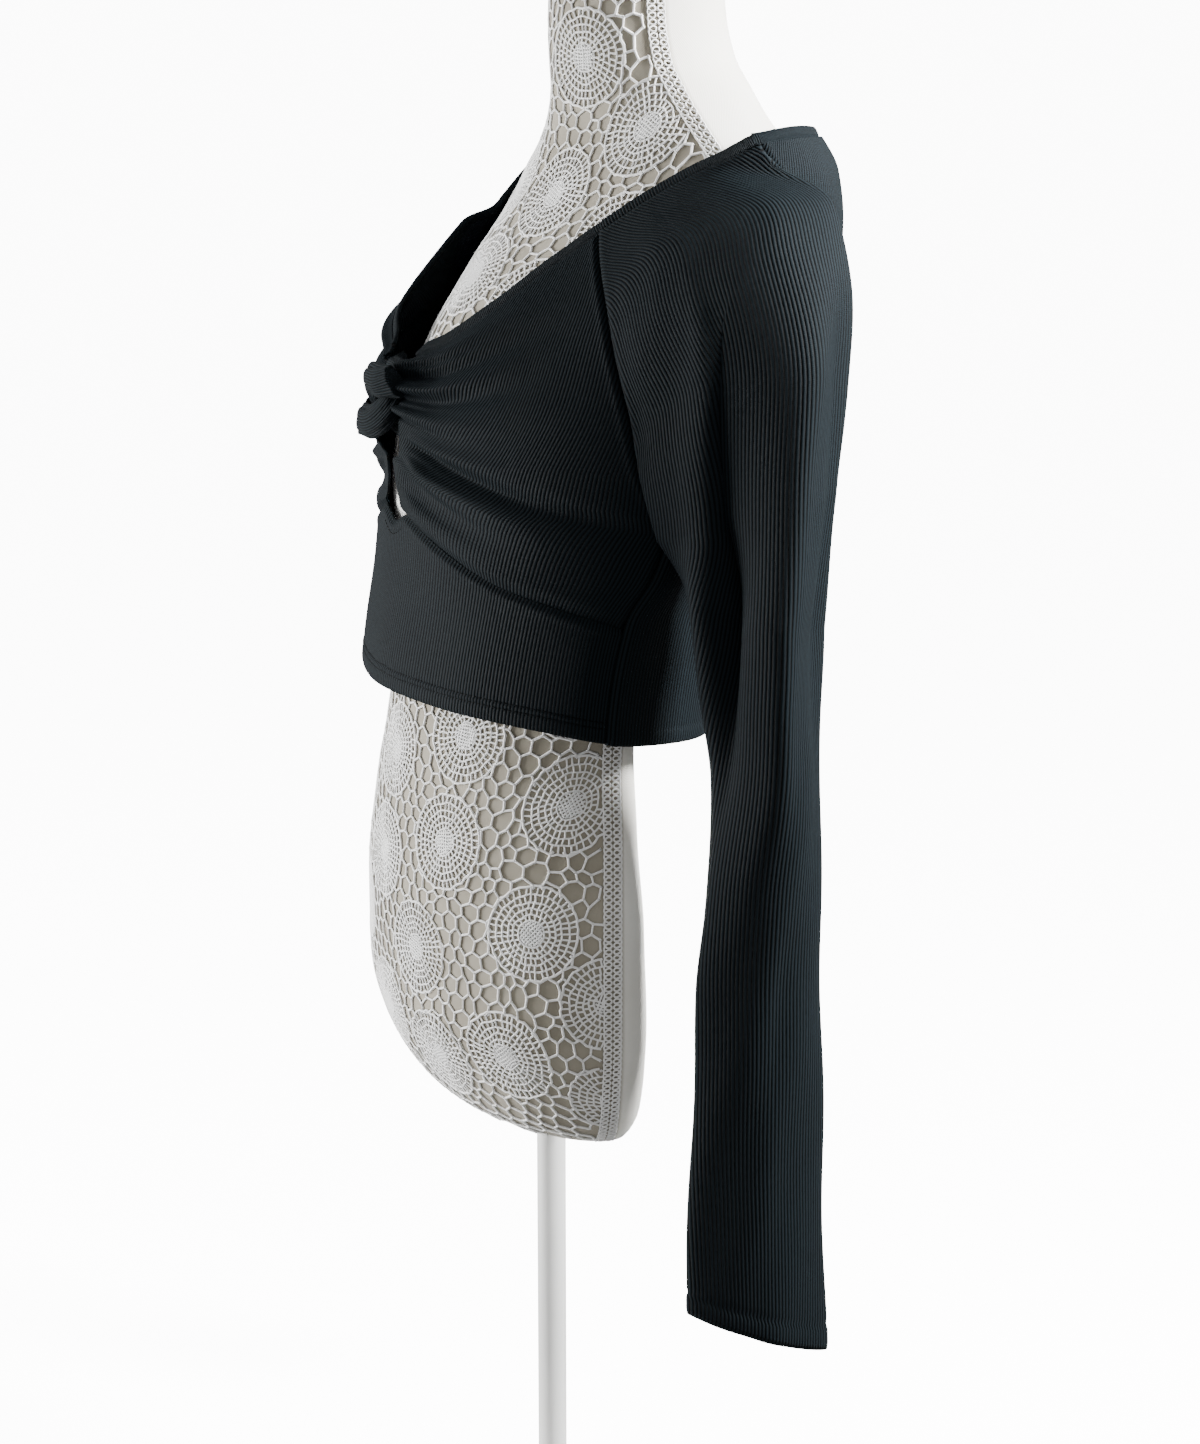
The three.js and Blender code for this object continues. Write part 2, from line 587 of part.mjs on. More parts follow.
// One roll of the knot: a U open towards side (+1 left, -1 right), in a plane tilted about X
function knotRoll(side, tilt) {
  const { rollRadius, bendRadius, depthScale, centreY, legEnd, lobes, lobeDepth } = knot;
  const bendCentre = bendRadius - rollRadius - 0.15;
  const path = [];
  const legSteps = 3;
  const bendSteps = 12;
  for (let i = 0; i < legSteps; i++) path.push([mix(legEnd, bendCentre, i / legSteps), bendRadius, 0, 1]);
  for (let i = 0; i <= bendSteps; i++) {
    const turn = (Math.PI * i) / bendSteps;
    path.push([bendCentre - bendRadius * Math.sin(turn), bendRadius * Math.cos(turn), turn, 1]);
  }
  for (let i = 1; i <= legSteps; i++) path.push([mix(bendCentre, legEnd, i / legSteps), -bendRadius, Math.PI, 1]);
  const corners = 14;
  const rings = path.map(([x, w, turn]) => {
    const ring = [];
    for (let k = 0; k < corners; k++) {
      const angle = (2 * Math.PI * k) / corners;
      const r = rollRadius - lobeDepth * (1 - Math.cos(lobes * angle)) * 0.5;
      const inPlane = r * Math.cos(angle);
      const px = x - Math.sin(turn) * inPlane;
      const pw = w + Math.cos(turn) * inPlane;
      const pn = r * Math.sin(angle);
      const y = pw * Math.sin(tilt) + pn * Math.cos(tilt);
      const z = pw * Math.cos(tilt) - pn * Math.sin(tilt);
      ring.push(new THREE.Vector3(side * px, centreY + y * depthScale, knotHeight + z));
    }
    return ring;
  });
  return outwardLoft(rings);
}

// A horizontal section of the dress form
function formRing(height, corners) {
  const s = columnsAt(formSections, "height", height);
  const ring = [];
  for (let k = 0; k < corners; k++) {
    const angle = (2 * Math.PI * k) / corners;
    const c = Math.cos(angle);
    const n = Math.sin(angle);
    const power = 2 / (n < 0 ? s.round : s.roundBack);
    const depth = n < 0 ? s.side - s.front : s.back - s.side;
    const x = s.half * Math.sign(c) * Math.pow(Math.abs(c), power);
    const y = s.side + depth * Math.sign(n) * Math.pow(Math.abs(n), power);
    ring.push(new THREE.Vector3(x, y, height));
  }
  return ring;
}

function dressForm() {
  const corners = 30;
  const top = formSections[formSections.length - 1].height;
  const steps = 31;
  const rings = [];
  for (let i = 0; i <= steps; i++) rings.push(formRing(mix(formUnderside, top, i / steps), corners));
  return loftOf(rings);
}

const group = new THREE.Group();
const ribKnit = new THREE.MeshStandardMaterial({ color: 0x101316, roughness: 0.8, metalness: 0 });
const formCover = new THREE.MeshStandardMaterial({ color: 0xe6e1d6, roughness: 0.9, metalness: 0 });
const standPaint = new THREE.MeshStandardMaterial({ color: 0xf0f0ee, roughness: 0.4, metalness: 0 });

function add(name, geometry, material) {
  const mesh = new THREE.Mesh(geometry, material);
  mesh.name = name;
  group.add(mesh);
  return mesh;
}

// A panel of cloth, its outside towards outward
function panel(name, columns, rows, place) {
  const flipped = (u, v) => place(1 - u, v);
  const direct = gridFaces(columns, rows, place);
  const sample = direct.points[Math.floor(rows / 2) * (columns + 1) + Math.floor(columns / 2)];
  const next = direct.points[Math.floor(rows / 2) * (columns + 1) + Math.floor(columns / 2) + 1];
  const above = direct.points[(Math.floor(rows / 2) + 1) * (columns + 1) + Math.floor(columns / 2)];
  const facing = next.clone().sub(sample).cross(above.clone().sub(sample));
  const middle = new THREE.Vector3(name.startsWith("sleeve") ? Math.sign(sample.x) * 130 : 0, 60, sample.z);
  const outside = facing.dot(sample.clone().sub(middle)) > 0;
  const surface = outside ? direct : gridFaces(columns, rows, flipped);
  return add(name, wallOf(surface, clothThickness), ribKnit);
}

panel("bust_left", 16, 22, (u, v) => cupPlace(u, v, frontRoll.left));
panel("bust_right", 16, 22, mirrored((u, v) => cupPlace(u, v, frontRoll.right)));
panel("midriff_front", 34, 4, midriffPlace);
panel("back_panel", 26, 16, wholeBackPlace);
panel("sleeve_left", 30, 28, sleevePlace);
panel("sleeve_right", 30, 28, mirrored(sleevePlace));
add("neck_band", neckBand(), ribKnit);
add("knot_left", knotRoll(1, -Math.PI / 4), ribKnit);
add("knot_right", knotRoll(-1, Math.PI / 4), ribKnit);
add("dress_form", dressForm(), formCover);

const poleLength = formUnderside - standBaseThickness - 2 * contactGap;
const pole = add("stand_pole", new THREE.CylinderGeometry(standPoleRadius, standPoleRadius, poleLength, 20), standPaint);
pole.rotation.x = Math.PI / 2;
pole.position.set(0, 8, standBaseThickness + contactGap + poleLength / 2);
const base = add(
  "stand_base",
  new THREE.CylinderGeometry(standBaseRadius - 3, standBaseRadius, standBaseThickness, 40),
  standPaint,
);
base.rotation.x = Math.PI / 2;
base.position.set(0, 20, standBaseThickness / 2);

export default group;
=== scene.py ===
import math
import random
import bpy
import bmesh
import numpy as np
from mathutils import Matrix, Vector
from mathutils.geometry import delaunay_2d_cdt


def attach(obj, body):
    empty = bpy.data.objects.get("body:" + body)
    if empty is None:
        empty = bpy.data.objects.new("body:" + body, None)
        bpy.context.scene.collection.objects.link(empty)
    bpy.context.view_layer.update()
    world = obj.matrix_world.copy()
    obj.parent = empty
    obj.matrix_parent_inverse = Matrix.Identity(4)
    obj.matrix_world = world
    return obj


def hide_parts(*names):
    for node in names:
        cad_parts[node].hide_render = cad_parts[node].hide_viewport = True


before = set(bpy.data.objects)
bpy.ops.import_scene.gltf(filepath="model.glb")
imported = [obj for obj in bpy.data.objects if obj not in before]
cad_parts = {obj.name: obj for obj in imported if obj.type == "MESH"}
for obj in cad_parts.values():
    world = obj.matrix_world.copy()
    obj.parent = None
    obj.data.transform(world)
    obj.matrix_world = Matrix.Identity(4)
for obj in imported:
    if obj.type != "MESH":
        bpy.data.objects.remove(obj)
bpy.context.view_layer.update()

# A long-sleeved rib knit crop top on a limbless dress form with crochet lace over its front.
# The tables are in millimetres, as the top was drawn, and the meshes are made in metres.
# The front faces -Y and the wearer's left, the near side in the picture, is +X.
toMetres = 0.001


# Small sums
def smooth(t):
    t = np.clip(t, 0, 1)
    return t * t * (3 - 2 * t)


def mix(a, b, t):
    return a + (b - a) * t


def bump(distance, width):
    return np.exp(-(distance / width) ** 2)


def unit(vectors):
    return vectors / np.maximum(np.linalg.norm(vectors, axis=-1, keepdims=True), 1e-9)


# Every column of a table at the given places, on smooth curves that don't overshoot between rows
def lookUp(table, key, places):
    names, rows = table
    grid = np.array(rows, float)
    if grid[0, names.index(key)] > grid[-1, names.index(key)]:
        grid = grid[::-1]
    at = grid[:, names.index(key)]
    slope = np.diff(grid, axis=0) / np.diff(at)[:, None]
    before, after = slope[:-1], slope[1:]
    total = np.where(before * after > 0, before + after, 1)
    inner = np.where(before * after > 0, 2 * before * after / total, 0)
    tangent = np.vstack([slope[:1], inner, slope[-1:]])
    places = np.asarray(places, float)
    i = np.clip(np.searchsorted(at, places) - 1, 0, len(at) - 2)
    step = at[i + 1] - at[i]
    t = np.clip((places - at[i]) / step, 0, 1)
    found = {}
    for n, name in enumerate(names):
        a, b = grid[i, n], grid[i + 1, n]
        ta, tb = tangent[i, n] * step, tangent[i + 1, n] * step
        found[name] = ((2 * t**3 - 3 * t**2 + 1) * a + (t**3 - 2 * t**2 + t) * ta
                       + (3 * t**2 - 2 * t**3) * b + (t**3 - t**2) * tb)
    return found


# A table whose rows are evenly placed from 0 to 1
def evenly(table, t):
    names, rows = table
    last = len(rows) - 1
    return lookUp((("at",) + names, [(i / last,) + tuple(row) for i, row in enumerate(rows)]), "at", t)


# A point on a smooth open curve through points of shape (count, n, 3), t from 0 to 1
def alongPoints(points, t):
    points = np.concatenate([2 * points[:1] - points[1:2], points, 2 * points[-1:] - points[-2:-1]])
    spans = len(points) - 3
    t = np.asarray(t, float) * spans
    i = np.clip(np.floor(t).astype(int), 0, spans - 1)
    f = (t - i)[:, None]
    n = np.arange(len(t))
    a, b, c, d = (points[i + k, n] for k in range(4))
    return 0.5 * (2 * b + (c - a) * f + (2 * a - 5 * b + 4 * c - d) * f**2 + (3 * b - a - 3 * c + d) * f**3)


def stackXyz(x, y, z):
    return np.stack(np.broadcast_arrays(np.asarray(x, float), y, z), axis=-1)


def addObject(name, data):
    added = bpy.data.objects.new(name, data)
    bpy.context.collection.objects.link(added)
    return added


def aim(item, direction):
    item.rotation_euler = direction.to_track_quat("-Z", "Y").to_euler()


# The camera, at the picture's angle
cameraView = {"across": 0.038, "away": 1.745, "height": 1.005, "turn": 70, "down": 14.3, "lens": 74.42,
              "sensor": 36, "near": 0.01}


def addCamera():
    turn = math.radians(cameraView["turn"])
    down = math.radians(cameraView["down"])
    toward = Vector((math.sin(turn), -math.cos(turn), 0))
    right = Vector((math.cos(turn), math.sin(turn), 0))
    up = Vector((0, 0, 1))
    data = bpy.data.cameras.new("camera")
    data.lens = cameraView["lens"]
    data.sensor_width = cameraView["sensor"]
    data.clip_start = cameraView["near"]
    camera = addObject("camera", data)
    camera.location = right * cameraView["across"] + toward * cameraView["away"] + up * cameraView["height"]
    aim(camera, -toward * math.cos(down) - up * math.sin(down))
    bpy.context.scene.camera = camera


addCamera()
print("camera ready")


# Materials
# One material's nodes, with the few kinds that the looks below are made of
class Look:
    def __init__(self, name):
        self.material = bpy.data.materials.new(name)
        self.material.use_nodes = True
        self.nodes, self.links = self.material.node_tree.nodes, self.material.node_tree.links
        self.shader = self.nodes["Principled BSDF"].inputs
        self.where = self.nodes.new("ShaderNodeTexCoord").outputs["Object"]

    # Each input takes a number, a colour or another node's output
    def fill(self, inputs, values):
        for name, value in values.items():
            if isinstance(value, bpy.types.NodeSocket):
                self.links.new(value, inputs[name])
            else:
                inputs[name].default_value = value

    def node(self, kind, values):
        node = self.nodes.new("ShaderNode" + kind)
        self.fill(node.inputs, values)
        return node

    def sum(self, kind, *values):
        node = self.node("Math", dict(enumerate(values)))
        node.operation = kind
        return node.outputs[0]

    def wave(self, value, length):
        return self.sum("SINE", self.sum("MULTIPLY", value, math.tau / length))

    def noise(self, scale, detail):
        return self.node("TexNoise", {"Vector": self.where, "Scale": scale, "Detail": detail}).outputs["Fac"]

    def ramp(self, value, stops):
        node = self.node("ValToRGB", {"Fac": value})
        elements = node.color_ramp.elements
        elements[0].position, elements[-1].position = stops[0][0], stops[-1][0]
        for stop in stops[1:-1]:
            elements.new(stop[0])
        for element, (place, colour) in zip(elements, stops):
            element.position = place
            element.color = (*colour, 1)
        return node.outputs["Color"]

    def bump(self, height, strength, distance):
        values = {"Height": height, "Strength": strength, "Distance": distance}
        return self.node("Bump", values).outputs["Normal"]

    def split(self, vector):
        return self.node("SeparateXYZ", {0: vector}).outputs

    # The cloth's own map: across its ribs and along them
    def ribMap(self):
        place = self.nodes.new("ShaderNodeUVMap")
        place.uv_map = "ribs"
        return self.split(place.outputs["UV"])


# Ridge, flank and valley colours: the darker flank and valley are painted shade in the hollows between the
# ribs
ribLook = {"pitch": 0.0023, "stitch": 0.0011, "bump": 0.7, "roughness": 0.6, "sheen": 0.012,
           "ridge": (0.0052, 0.0090, 0.0116), "flank": (0.0009, 0.0013, 0.0016),
           "valley": (0.0001, 0.0002, 0.0002)}


# Rounded ribs with narrow valleys, that follow the cloth's own "ribs" map, with painted shade darkening the
# colour into each valley
def makeRibKnit(name, bumpStrength):
    look = Look(name)
    place = look.ribMap()
    rib = look.sum("ABSOLUTE", look.wave(place["X"], 2 * ribLook["pitch"]))
    knit = look.sum("ABSOLUTE", look.wave(place["Y"], 2 * ribLook["stitch"]))
    cloudy, fuzz = look.noise(26, 3), look.noise(1400, 1)
    # Painted shade: the colour darkens from each rib's top into its valley, mixed with random cloudy tone
    lit = look.sum("MULTIPLY", rib, look.sum("MULTIPLY_ADD", cloudy, 0.5, 0.5))
    ribShadeAndTone = look.sum("ADD", lit, look.sum("MULTIPLY", rib, 0.35))
    height = look.sum("ADD", rib, look.sum("MULTIPLY", knit, 0.16))
    height = look.sum("ADD", height, look.sum("MULTIPLY", fuzz, 0.2))
    stops = ((0, ribLook["valley"]), (0.42, ribLook["flank"]), (0.85, ribLook["ridge"]))
    look.fill(look.shader, {
        "Base Color": look.ramp(ribShadeAndTone, stops), "Normal": look.bump(height, bumpStrength, 0.0007),
        "Roughness": look.sum("MULTIPLY_ADD", fuzz, 0.2, ribLook["roughness"]), "Specular IOR Level": 0.068,
        "Sheen Weight": ribLook["sheen"], "Sheen Roughness": 0.45, "Sheen Tint": (0.75, 0.92, 1, 1)})
    return look.material


# Crochet cotton: a fine twist along the thread, a little greyer in places
def makeLaceThread():
    look = Look("laceThread")
    colour = look.ramp(look.noise(40, 3), ((0.3, (0.84, 0.835, 0.82)), (0.7, (0.95, 0.95, 0.94))))
    look.fill(look.shader, {"Base Color": colour, "Normal": look.bump(look.noise(2200, 1), 0.5, 0.0004),
                            "Roughness": 0.85, "Sheen Weight": 0.2})
    return look.material


# The second pair of colours is painted shade: the cover as it looks in the shadow of the lace
coverLook = {"yarn": 0.0012, "plain": ((0.8, 0.78, 0.71), (0.88, 0.87, 0.81)),
             "shadeUnderLace": ((0.25, 0.225, 0.175), (0.36, 0.33, 0.265))}


# The form's cover: plain woven cotton, off white, with painted shade on its front where the lace lies, so
# the cover seen through the lace's holes is darker
def makeFormCloth():
    look = Look("formCloth")
    place = look.split(look.where)
    around = look.sum("ADD", place["X"], place["Y"])
    warp, weft = (look.wave(run, coverLook["yarn"]) for run in (around, place["Z"]))
    weave = look.sum("MULTIPLY", warp, weft)
    cloudy, slub = look.noise(18, 4), look.noise(900, 2)
    plain, shadeUnderLace = (look.ramp(cloudy, ((0.32, coverLook[key][0]), (0.68, coverLook[key][1])))
                        for key in ("plain", "shadeUnderLace"))
    coverAndShade = look.node("Mix", {})
    coverAndShade.data_type = "RGBA"
    # The form's map marks its front, where the lace lies; there the painted shade colour is used
    look.fill(coverAndShade.inputs, {"Factor": look.ribMap()["X"], "A": plain, "B": shadeUnderLace})
    height = look.sum("ADD", weave, look.sum("MULTIPLY", slub, 1.5))
    look.fill(look.shader, {"Base Color": coverAndShade.outputs["Result"], "Normal": look.bump(height, 0.25, 0.0003),
                            "Roughness": 0.9, "Sheen Weight": 0.15})
    return look.material


# Powder paint with a faint orange peel, dulled a little where it is handled
def makeStandPaint():
    look = Look("standPaint")
    cloudy = look.noise(9, 3)
    look.fill(look.shader, {
        "Base Color": look.ramp(cloudy, ((0.3, (0.72, 0.72, 0.7)), (0.7, (0.8, 0.8, 0.785)))),
        "Normal": look.bump(look.noise(700, 2), 0.15, 0.0003),
        "Roughness": look.sum("MULTIPLY_ADD", cloudy, 0.25, 0.28)})
    return look.material


ribKnit = makeRibKnit("ribKnit", ribLook["bump"])
stitchThread = makeRibKnit("stitchThread", 0.2)
laceThread = makeLaceThread()
formCloth = makeFormCloth()
standPaint = makeStandPaint()
print("materials ready")


# The top's measured sections and seams
bodySections = (("height", "front", "quarterX", "quarterY", "half", "side", "rearX", "rearY", "back"), (
    (560, -104, 97, -78, 139, -8, 98, 66, 97),
    (605, -100, 99, -73, 142, -5, 101, 72, 103),
    (650, -92, 102, -66, 146, 3, 103, 81, 113),
    (675, -89, 104, -62, 148, 18, 105, 89, 120),
    (700, -88, 106, -57, 150, 27, 106, 98, 128),
    (755, -91, 106, -46, 152, 41, 108, 117, 143),
    (809, -76, 92, -25, 150, 56, 109, 135, 156),
    (864, -30, 92, 8, 146, 72, 106, 146, 164),
    (890, -14, 101, 24, 142, 79, 102, 144, 161),
    (914, -3, 108, 38, 136, 84, 94, 134, 152)))
# Seams: share is the way round the body, 0 at the front centre, 0.5 at the side, 1 at the back
frontNeckSeam = (("share", "height"), ((0.055, 786), (0.105, 795), (0.165, 817), (0.212, 842), (0.253, 859)))
frontRaglanSeam = (("share", "height"), ((0.253, 859), (0.328, 818), (0.388, 770), (0.436, 730), (0.5, 698)))
backRaglanSeam = (("share", "height"), ((0.5, 909), (0.585, 880), (0.622, 820), (0.58, 755), (0.5, 698)))
backNeckSeam = (("share", "height"), ((0.5, 909), (0.625, 911), (0.75, 909), (0.875, 903), (1, 898)))
sideSeam = (("share", "height"), ((0.5, 583), (0.5, 640), (0.5, 704)))
underbustSeam = (("share", "height"), ((0.045, 695.5), (0.127, 685), (0.25, 670), (0.37, 659), (0.5, 647)))
bustNearEdge = (("across", "share", "height"), (
    (0, 0.055, 786), (0.3, 0.044, 762), (0.58, 0.042, 740), (0.7, 0.036, 730),
    (0.78, 0.014, 726), (0.86, 0.016, 716), (0.93, 0.028, 704), (1, 0.045, 695.5)))
hemLine = (("share", "height"), (
    (0, 594), (0.13, 594.5), (0.25, 593.5), (0.36, 590), (0.5, 581.5), (0.6, 577), (0.76, 571), (1, 568)))
underarmHeight, keyholeBottom = 698, 689.5


def onBody(share, height):
    row = lookUp(bodySections, "height", height)
    loop = np.stack([
        stackXyz(-row["quarterX"], row["quarterY"], height),
        stackXyz(0, row["front"], height),
        stackXyz(row["quarterX"], row["quarterY"], height),
        stackXyz(row["half"], row["side"], height),
        stackXyz(row["rearX"], row["rearY"], height),
        stackXyz(0, row["back"], height),
        stackXyz(-row["rearX"], row["rearY"], height)])
    return alongPoints(loop, (1 + 4 * np.asarray(share)) / 6)


def bodyNormal(share, height):
    along = onBody(share + 0.004, height) - onBody(share - 0.004, height)
    up = onBody(share, height + 1) - onBody(share, height - 1)
    return unit(np.cross(along, up))


# Points of the body's surface, moved out by a rise in millimetres
def raised(share, height, rise):
    return onBody(share, height) + bodyNormal(share, height) * rise[:, None]


# A patch between four edges of shares and heights, with both ends of the first and last edge as corners
def betweenEdges(first, last, start, end, corners, across, along):
    at = []
    for key in ("share", "height"):
        a, b, c, d = corners[key]
        at.append(mix(first[key], last[key], along) + mix(start[key], end[key], across)
                  - mix(mix(a, b, across), mix(c, d, across), along))
    return at


# How strongly a panel's edge rolls in to its seam, from the distance to that edge in millimetres
seamLook = {"depth": 1.7, "width": 2.2, "ridge": 0.5, "ridgeAt": 4.5, "ridgeWidth": 2}


def seamRoll(distance):
    ridge = seamLook["ridge"] * bump(distance - seamLook["ridgeAt"], seamLook["ridgeWidth"])
    return ridge - seamLook["depth"] * bump(distance, seamLook["width"])


# Length along a row of points, from its first point
def runLength(points, axis=0):
    run = np.cumsum(np.linalg.norm(np.diff(points, axis=axis), axis=-1), axis=axis)
    return np.concatenate([np.zeros_like(run.take([0], axis=axis)), run], axis=axis)


def mirrored(place):
    def placed(u, v):
        points, ribs = place(1 - u, v)
        return points * (-1, 1, 1), ribs
    return placed


# A sheet of cloth from a flat grid; its faces turn away from the place middle, and its wall lies behind them
def clothSheet(name, columns, rows, place, material, middle, thickness=1.6):
    mesh = bmesh.new()
    bmesh.ops.create_grid(mesh, x_segments=columns, y_segments=rows, size=0.5)
    flat = np.array([vert.co[:2] for vert in mesh.verts]) + 0.5
    points, ribs = place(flat[:, 0], flat[:, 1])
    points = points * toMetres
    layer = mesh.loops.layers.uv.new("ribs")
    for vert, point in zip(mesh.verts, points):
        vert.co = point
    mesh.verts.index_update()
    mesh.normal_update()
    for face in mesh.faces:
        face.smooth = True
        for loop in face.loops:
            loop[layer].uv = ribs[loop.vert.index] * toMetres
    mesh.faces.ensure_lookup_table()
    sample = mesh.faces[len(mesh.faces) // 2 + columns // 2]
    centre = sample.calc_center_median()
    if sample.normal.dot(centre - Vector((*middle, centre.z))) < 0:
        bmesh.ops.reverse_faces(mesh, faces=mesh.faces)
    area = sum(face.calc_area() for face in mesh.faces)
    piece = finishMesh(name, mesh, material)
    wall = piece.modifiers.new("wall", "SOLIDIFY")
    wall.thickness = thickness * toMetres
    wall.offset = -1
    return piece, area


def finishMesh(name, mesh, material):
    data = bpy.data.meshes.new(name)
    mesh.to_mesh(data)
    mesh.free()
    data.materials.append(material)
    piece = addObject(name, data)
    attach(piece, "root")
    return piece


# Bust panels, gathered into the knot
# Each gather: where it starts across the near edge, how far it drifts, its depth, width and reach
cupGathers = (
    (0.06, 0.02, 2.6, 0.035, 0.9), (0.15, 0.03, -5.2, 0.03, 0.85), (0.21, 0.05, 3, 0.035, 0.5),
    (0.28, 0.0, -5.5, 0.032, 0.8), (0.36, 0.08, 3.6, 0.04, 0.55), (0.47, 0.04, -1.8, 0.035, 0.25),
    (0.5, 0.12, 2.6, 0.04, 0.6), (0.575, 0.185, -6.5, 0.045, 1.25), (0.68, 0.2, 4.2, 0.06, 0.95),
    (0.83, 0.06, -3, 0.035, 0.7), (0.91, 0.04, 1.8, 0.035, 0.6))
fineGathers = (
    (0.09, 0.03, -1.8, 0.013, 0.6), (0.2, 0.0, -1.9, 0.013, 0.5), (0.24, -0.03, 1.4, 0.014, 0.5),
    (0.33, 0.0, -2.0, 0.013, 0.45), (0.42, 0.1, -1.8, 0.014, 0.4), (0.5, 0.06, -1.4, 0.012, 0.3),
    (0.63, 0.2, -1.8, 0.014, 0.5), (0.72, 0.16, -1.5, 0.016, 0.7), (0.79, 0.12, -1.2, 0.014, 0.6),
    (0.87, 0.04, -1.1, 0.012, 0.5))
cupLook = {"rise": 11, "width": 0.13, "reach": 0.27, "topRoll": 5, "leftRoll": 0.15, "rightRoll": 0.5,
           "gathers": 1.2, "crumple": 0.55, "farForward": 9.5, "across": 150, "down": 110, "ribWidth": 135}
# How far a rib drifts on its way down the panel, in two rows; the drift grows away from the knot
ribDrift = ((0, 0.2, 0.4, 0.55, 0.68, 0.82, 1), (0, -22, -43, -58, -68, -73, -76))
driftGrowth = (0.8, 0.55)


# The far side of the neckline stands a little further forward than the near one
def farBulge(a, b):
    return cupLook["farForward"] * smooth((a - 0.06) / 0.34) * smooth((1 - a) / 0.22) * smooth(1 - b / 0.6)


def cupPlace(rollAcross, bulge=0):
    def place(u, v):
        a, b = np.power(u, 1.3), v
        top, bottom = evenly(frontNeckSeam, a), evenly(underbustSeam, a)
        near = lookUp(bustNearEdge, "across", b)
        sideShare = 0.74
        raglan = evenly(frontRaglanSeam, np.clip(b / sideShare, 0, 1))
        low = mix(underarmHeight, 647, np.clip((b - sideShare) / (1 - sideShare), 0, 1))
        far = {"share": raglan["share"], "height": np.where(b < sideShare, raglan["height"], low)}
        corners = {"share": (0.055, 0.253, 0.045, 0.5), "height": (786, 859, 695.5, 647)}
        share, height = betweenEdges(top, bottom, near, far, corners, a, b)
        edges = np.clip(b / 0.05, 0, 1) * np.clip((1 - b) / 0.06, 0, 1)
        rise = (cupLook["rise"] * bump(b - rollAcross, cupLook["width"])
                * smooth(1 - a / cupLook["reach"]) * edges)
        for across, drift, depth, width, reach in cupGathers + fineGathers:
            start = smooth(a / 0.2) if across > 0.45 else 1
            fold = cupLook["gathers"] * depth * bump(b - across - drift * a, width)
            rise = rise + fold * smooth(1 - a / reach) * edges * start
        topRoll = cupLook["topRoll"] * bump(b - 0.13, 0.13)
        rise = rise + topRoll * smooth((a - 0.06) / 0.3) * smooth(1 - a / 0.8) * edges
        rise = rise + cupCrumple(a, b) * edges + bulge * farBulge(a, b)
        rise = rise + seamRoll((1 - b) * cupLook["down"]) + seamRoll((1 - a) * cupLook["across"])
        drift = np.interp(b, *ribDrift) * (driftGrowth[0] + driftGrowth[1] * a)
        ribs = np.stack([a * cupLook["ribWidth"] - drift, b * cupLook["down"]], axis=-1)
        return raised(share, height, rise), ribs
    return place


# Shallow drag lines that fan out of the gathers
def cupCrumple(a, b):
    fan = np.sin(2 * math.pi * (b * 5.3 + 0.8 * a + 0.1 * np.sin(9 * a)))
    return cupLook["crumple"] * fan * np.exp(-a * 2.2) * smooth(a / 0.08)


# Front midriff band and back
hemLook = {"fold": 13, "swell": 0.45, "rows": (8.6, 12), "groove": 0.55, "turn": 0.7}
# The keyhole's half width and the underbust seam's height beside it; width of cloth from side to side
midriffLook = {"keyhole": 0.045, "seam": 695.5, "width": 372}
backLook = {"armShare": 0.62, "hem": 581.5, "hemMiddle": 568, "neck": 909, "neckMiddle": 898, "half": 190}


# The turned-up hem stands a little proud, and its two rows of stitches pull it in
def hemRise(above):
    rise = hemLook["swell"] * smooth((hemLook["fold"] - above) / 2) - hemLook["turn"] * bump(above, 1.4)
    for row in hemLook["rows"]:
        rise = rise - hemLook["groove"] * bump(above - row, 0.7)
    return rise


def midriffPlace(u, v):
    side = mix(-0.5, 0.5, u)
    far = np.abs(side)
    dip = mix(keyholeBottom, midriffLook["seam"], smooth(far / midriffLook["keyhole"]))
    top = np.where(far < midriffLook["keyhole"], dip, lookUp(underbustSeam, "share", far)["height"])
    hem = lookUp(hemLine, "share", far)["height"]
    height = mix(hem, top, v)
    rise = hemRise(height - hem) + seamRoll(top - height) + seamRoll((0.5 - far) * 740)
    rise = rise + 0.5 * np.sin(side * 31) * np.sin((height - 590) * 0.05) * smooth((0.5 - far) / 0.06)
    points = raised(far, height, rise)
    points[:, 0] = np.where(side < 0, -points[:, 0], points[:, 0])
    return points, np.stack([side * midriffLook["width"], height], axis=-1)


